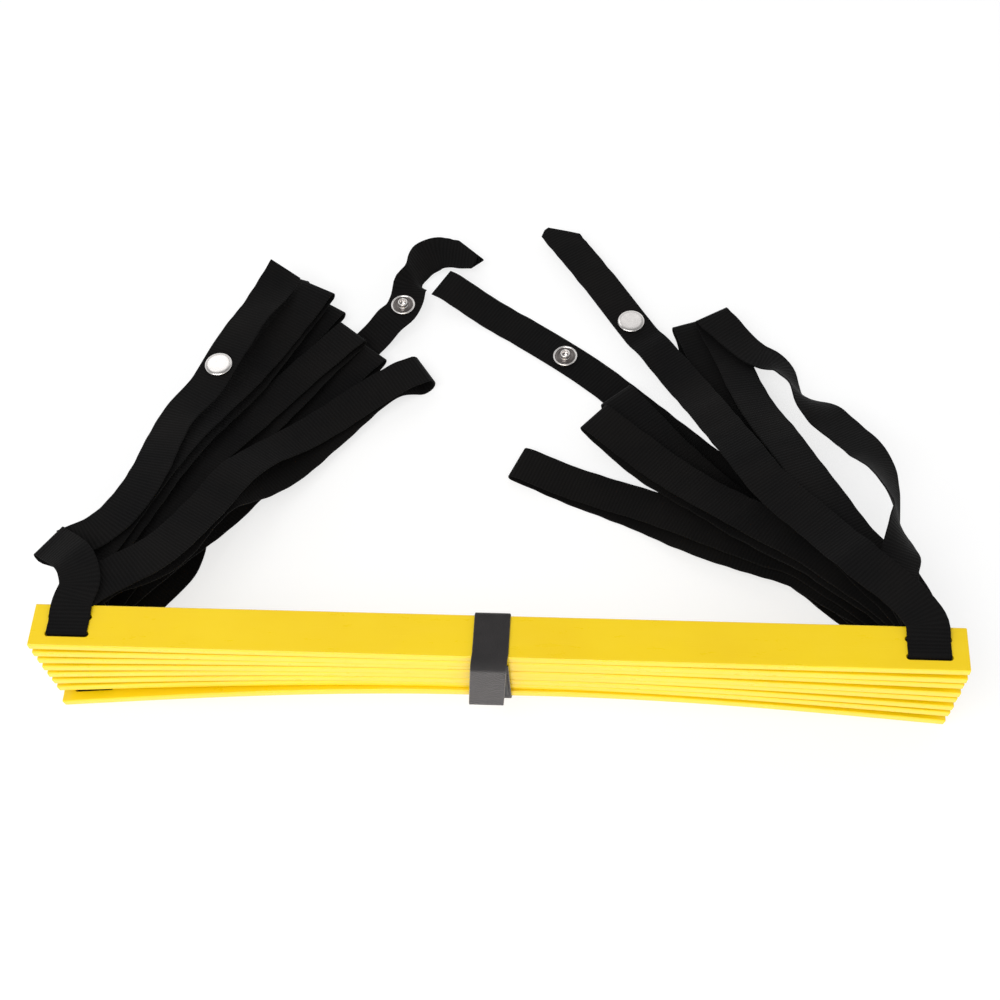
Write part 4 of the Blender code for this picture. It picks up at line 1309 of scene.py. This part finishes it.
def make_tape(material):
    """The band's tape. The piece with the loose end begins at the top back corner, so that its hinge
    on the top is one bend of the same tape."""
    ring = ring_line()
    half = band_width / 2
    rest = finer_line(ring[-2:])
    around = tape_body(ring[:-1], half)
    over = tape_body([*rest, *flap_line()], half, band_flap_sideways, len(rest))
    add_piece("band_ring_tape", *around, material, band_place, "band_fabric", "band", ["band_ring"])
    flap = add_piece("band_flap_tape", *over, material, band_place, "band_fabric", None, ["band_flap"])
    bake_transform(flap)


def make_patches(material):
    front, _, bottom, top = band_bounds()
    middle = (bottom + top) / 2
    face = front - band_thickness - contact_gap
    for piece, body in (("loop", "band"), ("hook", "band_end")):
        line = [(face, middle + patch_length / 2), (face, middle - patch_length / 2)]
        pad = tape_body(line, band_width / 2 - patch_inset, thickness=patch_thickness)
        node = f"band_{piece}_patch"
        add_piece(f"band_{piece}_pad", *pad, material, band_place, "patch_fabric", body, [node])
        face -= patch_thickness + contact_gap


# The stage

def make_floor():
    half = floor_half_length
    corners = [(-half, -half, 0), (half, -half, 0), (half, half, 0), (-half, half, 0)]
    floor = linked_mesh("floor", corners, [(0, 1, 2, 3)])
    floor.data.materials.append(new_material("white_floor", floor_inputs))


def add_area_light(name, place, target, size, power):
    lamp = bpy.data.lights.new(name, "AREA")
    assign(lamp, shape="RECTANGLE", size=size[0], size_y=size[1], energy=power)
    turn = (Vector(target) - Vector(place)).to_track_quat("-Z", "Y").to_matrix().to_4x4()
    linked(name, lamp).matrix_world = Matrix.Translation(place) @ turn


def make_world():
    """A white room that is bright all round and darker overhead."""
    world = bpy.data.worlds.new("white_room")
    world.use_nodes = True
    tree = world.node_tree
    direction = add_node(tree, "ShaderNodeTexCoord", {}).outputs["Generated"]
    height = add_node(tree, "ShaderNodeSeparateXYZ", {"Vector": direction}).outputs["Z"]
    strength = remap(tree, height, 0.25, 0.85, world_at_horizon, world_overhead)
    set_inputs(tree, tree.nodes["Background"], {"Color": (1, 1, 1, 1), "Strength": strength})
    bpy.context.scene.world = world


def make_light():
    make_world()
    for name, settings in lamps.items():
        add_area_light(name, *settings)
    bpy.context.scene.view_settings.view_transform = "Standard"


def add_catch_light(side, run):
    """A soft lamp where the camera sees it mirrored in the bright cap of the side's snap."""
    seat = to_frame @ tail_frame(run, snaps_from_end[side, "upper"])
    cap, normal = seat.translation, seat.col[2].to_3d().normalized()
    view = (to_frame @ Vector(camera_place) - cap).normalized()
    mirrored = 2 * normal.dot(view) * normal - view
    size, power = (catch_size, catch_size), catch_powers[side]
    add_area_light(f"catch_{side}", cap + catch_distance * mirrored, cap, size, power)


def make_camera():
    """The photograph's camera, which looks down past the stack's front."""
    lens = bpy.data.cameras.new("photo_camera")
    assign(lens, lens=camera_lens, sensor_width=camera_sensor)
    yaw = Matrix.Rotation(-camera_yaw, 4, "Z")
    pitch = Matrix.Rotation(math.pi / 2 - camera_pitch, 4, "X")
    roll = Matrix.Rotation(camera_roll, 4, "Z")
    made = linked("photo_camera", lens)
    made.matrix_world = to_frame @ Matrix.Translation(camera_place) @ yaw @ pitch @ roll
    bpy.context.scene.camera = made


def main():
    rung_plastic = new_material("yellow_rung_plastic", plastic_inputs)
    webbing = new_material("black_strap_webbing", webbing_inputs)
    nickel = new_material("snap_nickel_plate", nickel_inputs)
    for index in range(rung_count):
        make_rung(index, rung_plastic)
    heap = new_heap()
    seed = 0
    for side in ("left", "right"):
        runs = lay_side(heap, side)
        for loop in range(1, rung_count):
            make_loop(side, loop, runs[f"loop_{loop}"], seed, webbing)
            seed += seeds_each
        for place in ("upper", "lower"):
            make_tail(side, place, runs[f"tail_{place}"], seed, webbing)
            seed += seeds_each
            make_snap(side, place, runs[f"tail_{place}"][-1], nickel)
        add_catch_light(side, runs["tail_upper"][-1])
    make_tape(new_material("charcoal_band_fabric", band_inputs))
    make_patches(new_material("black_patch_nylon", patch_inputs))
    make_floor()
    make_light()
    make_camera()


to_frame = frame_matrix()
main()
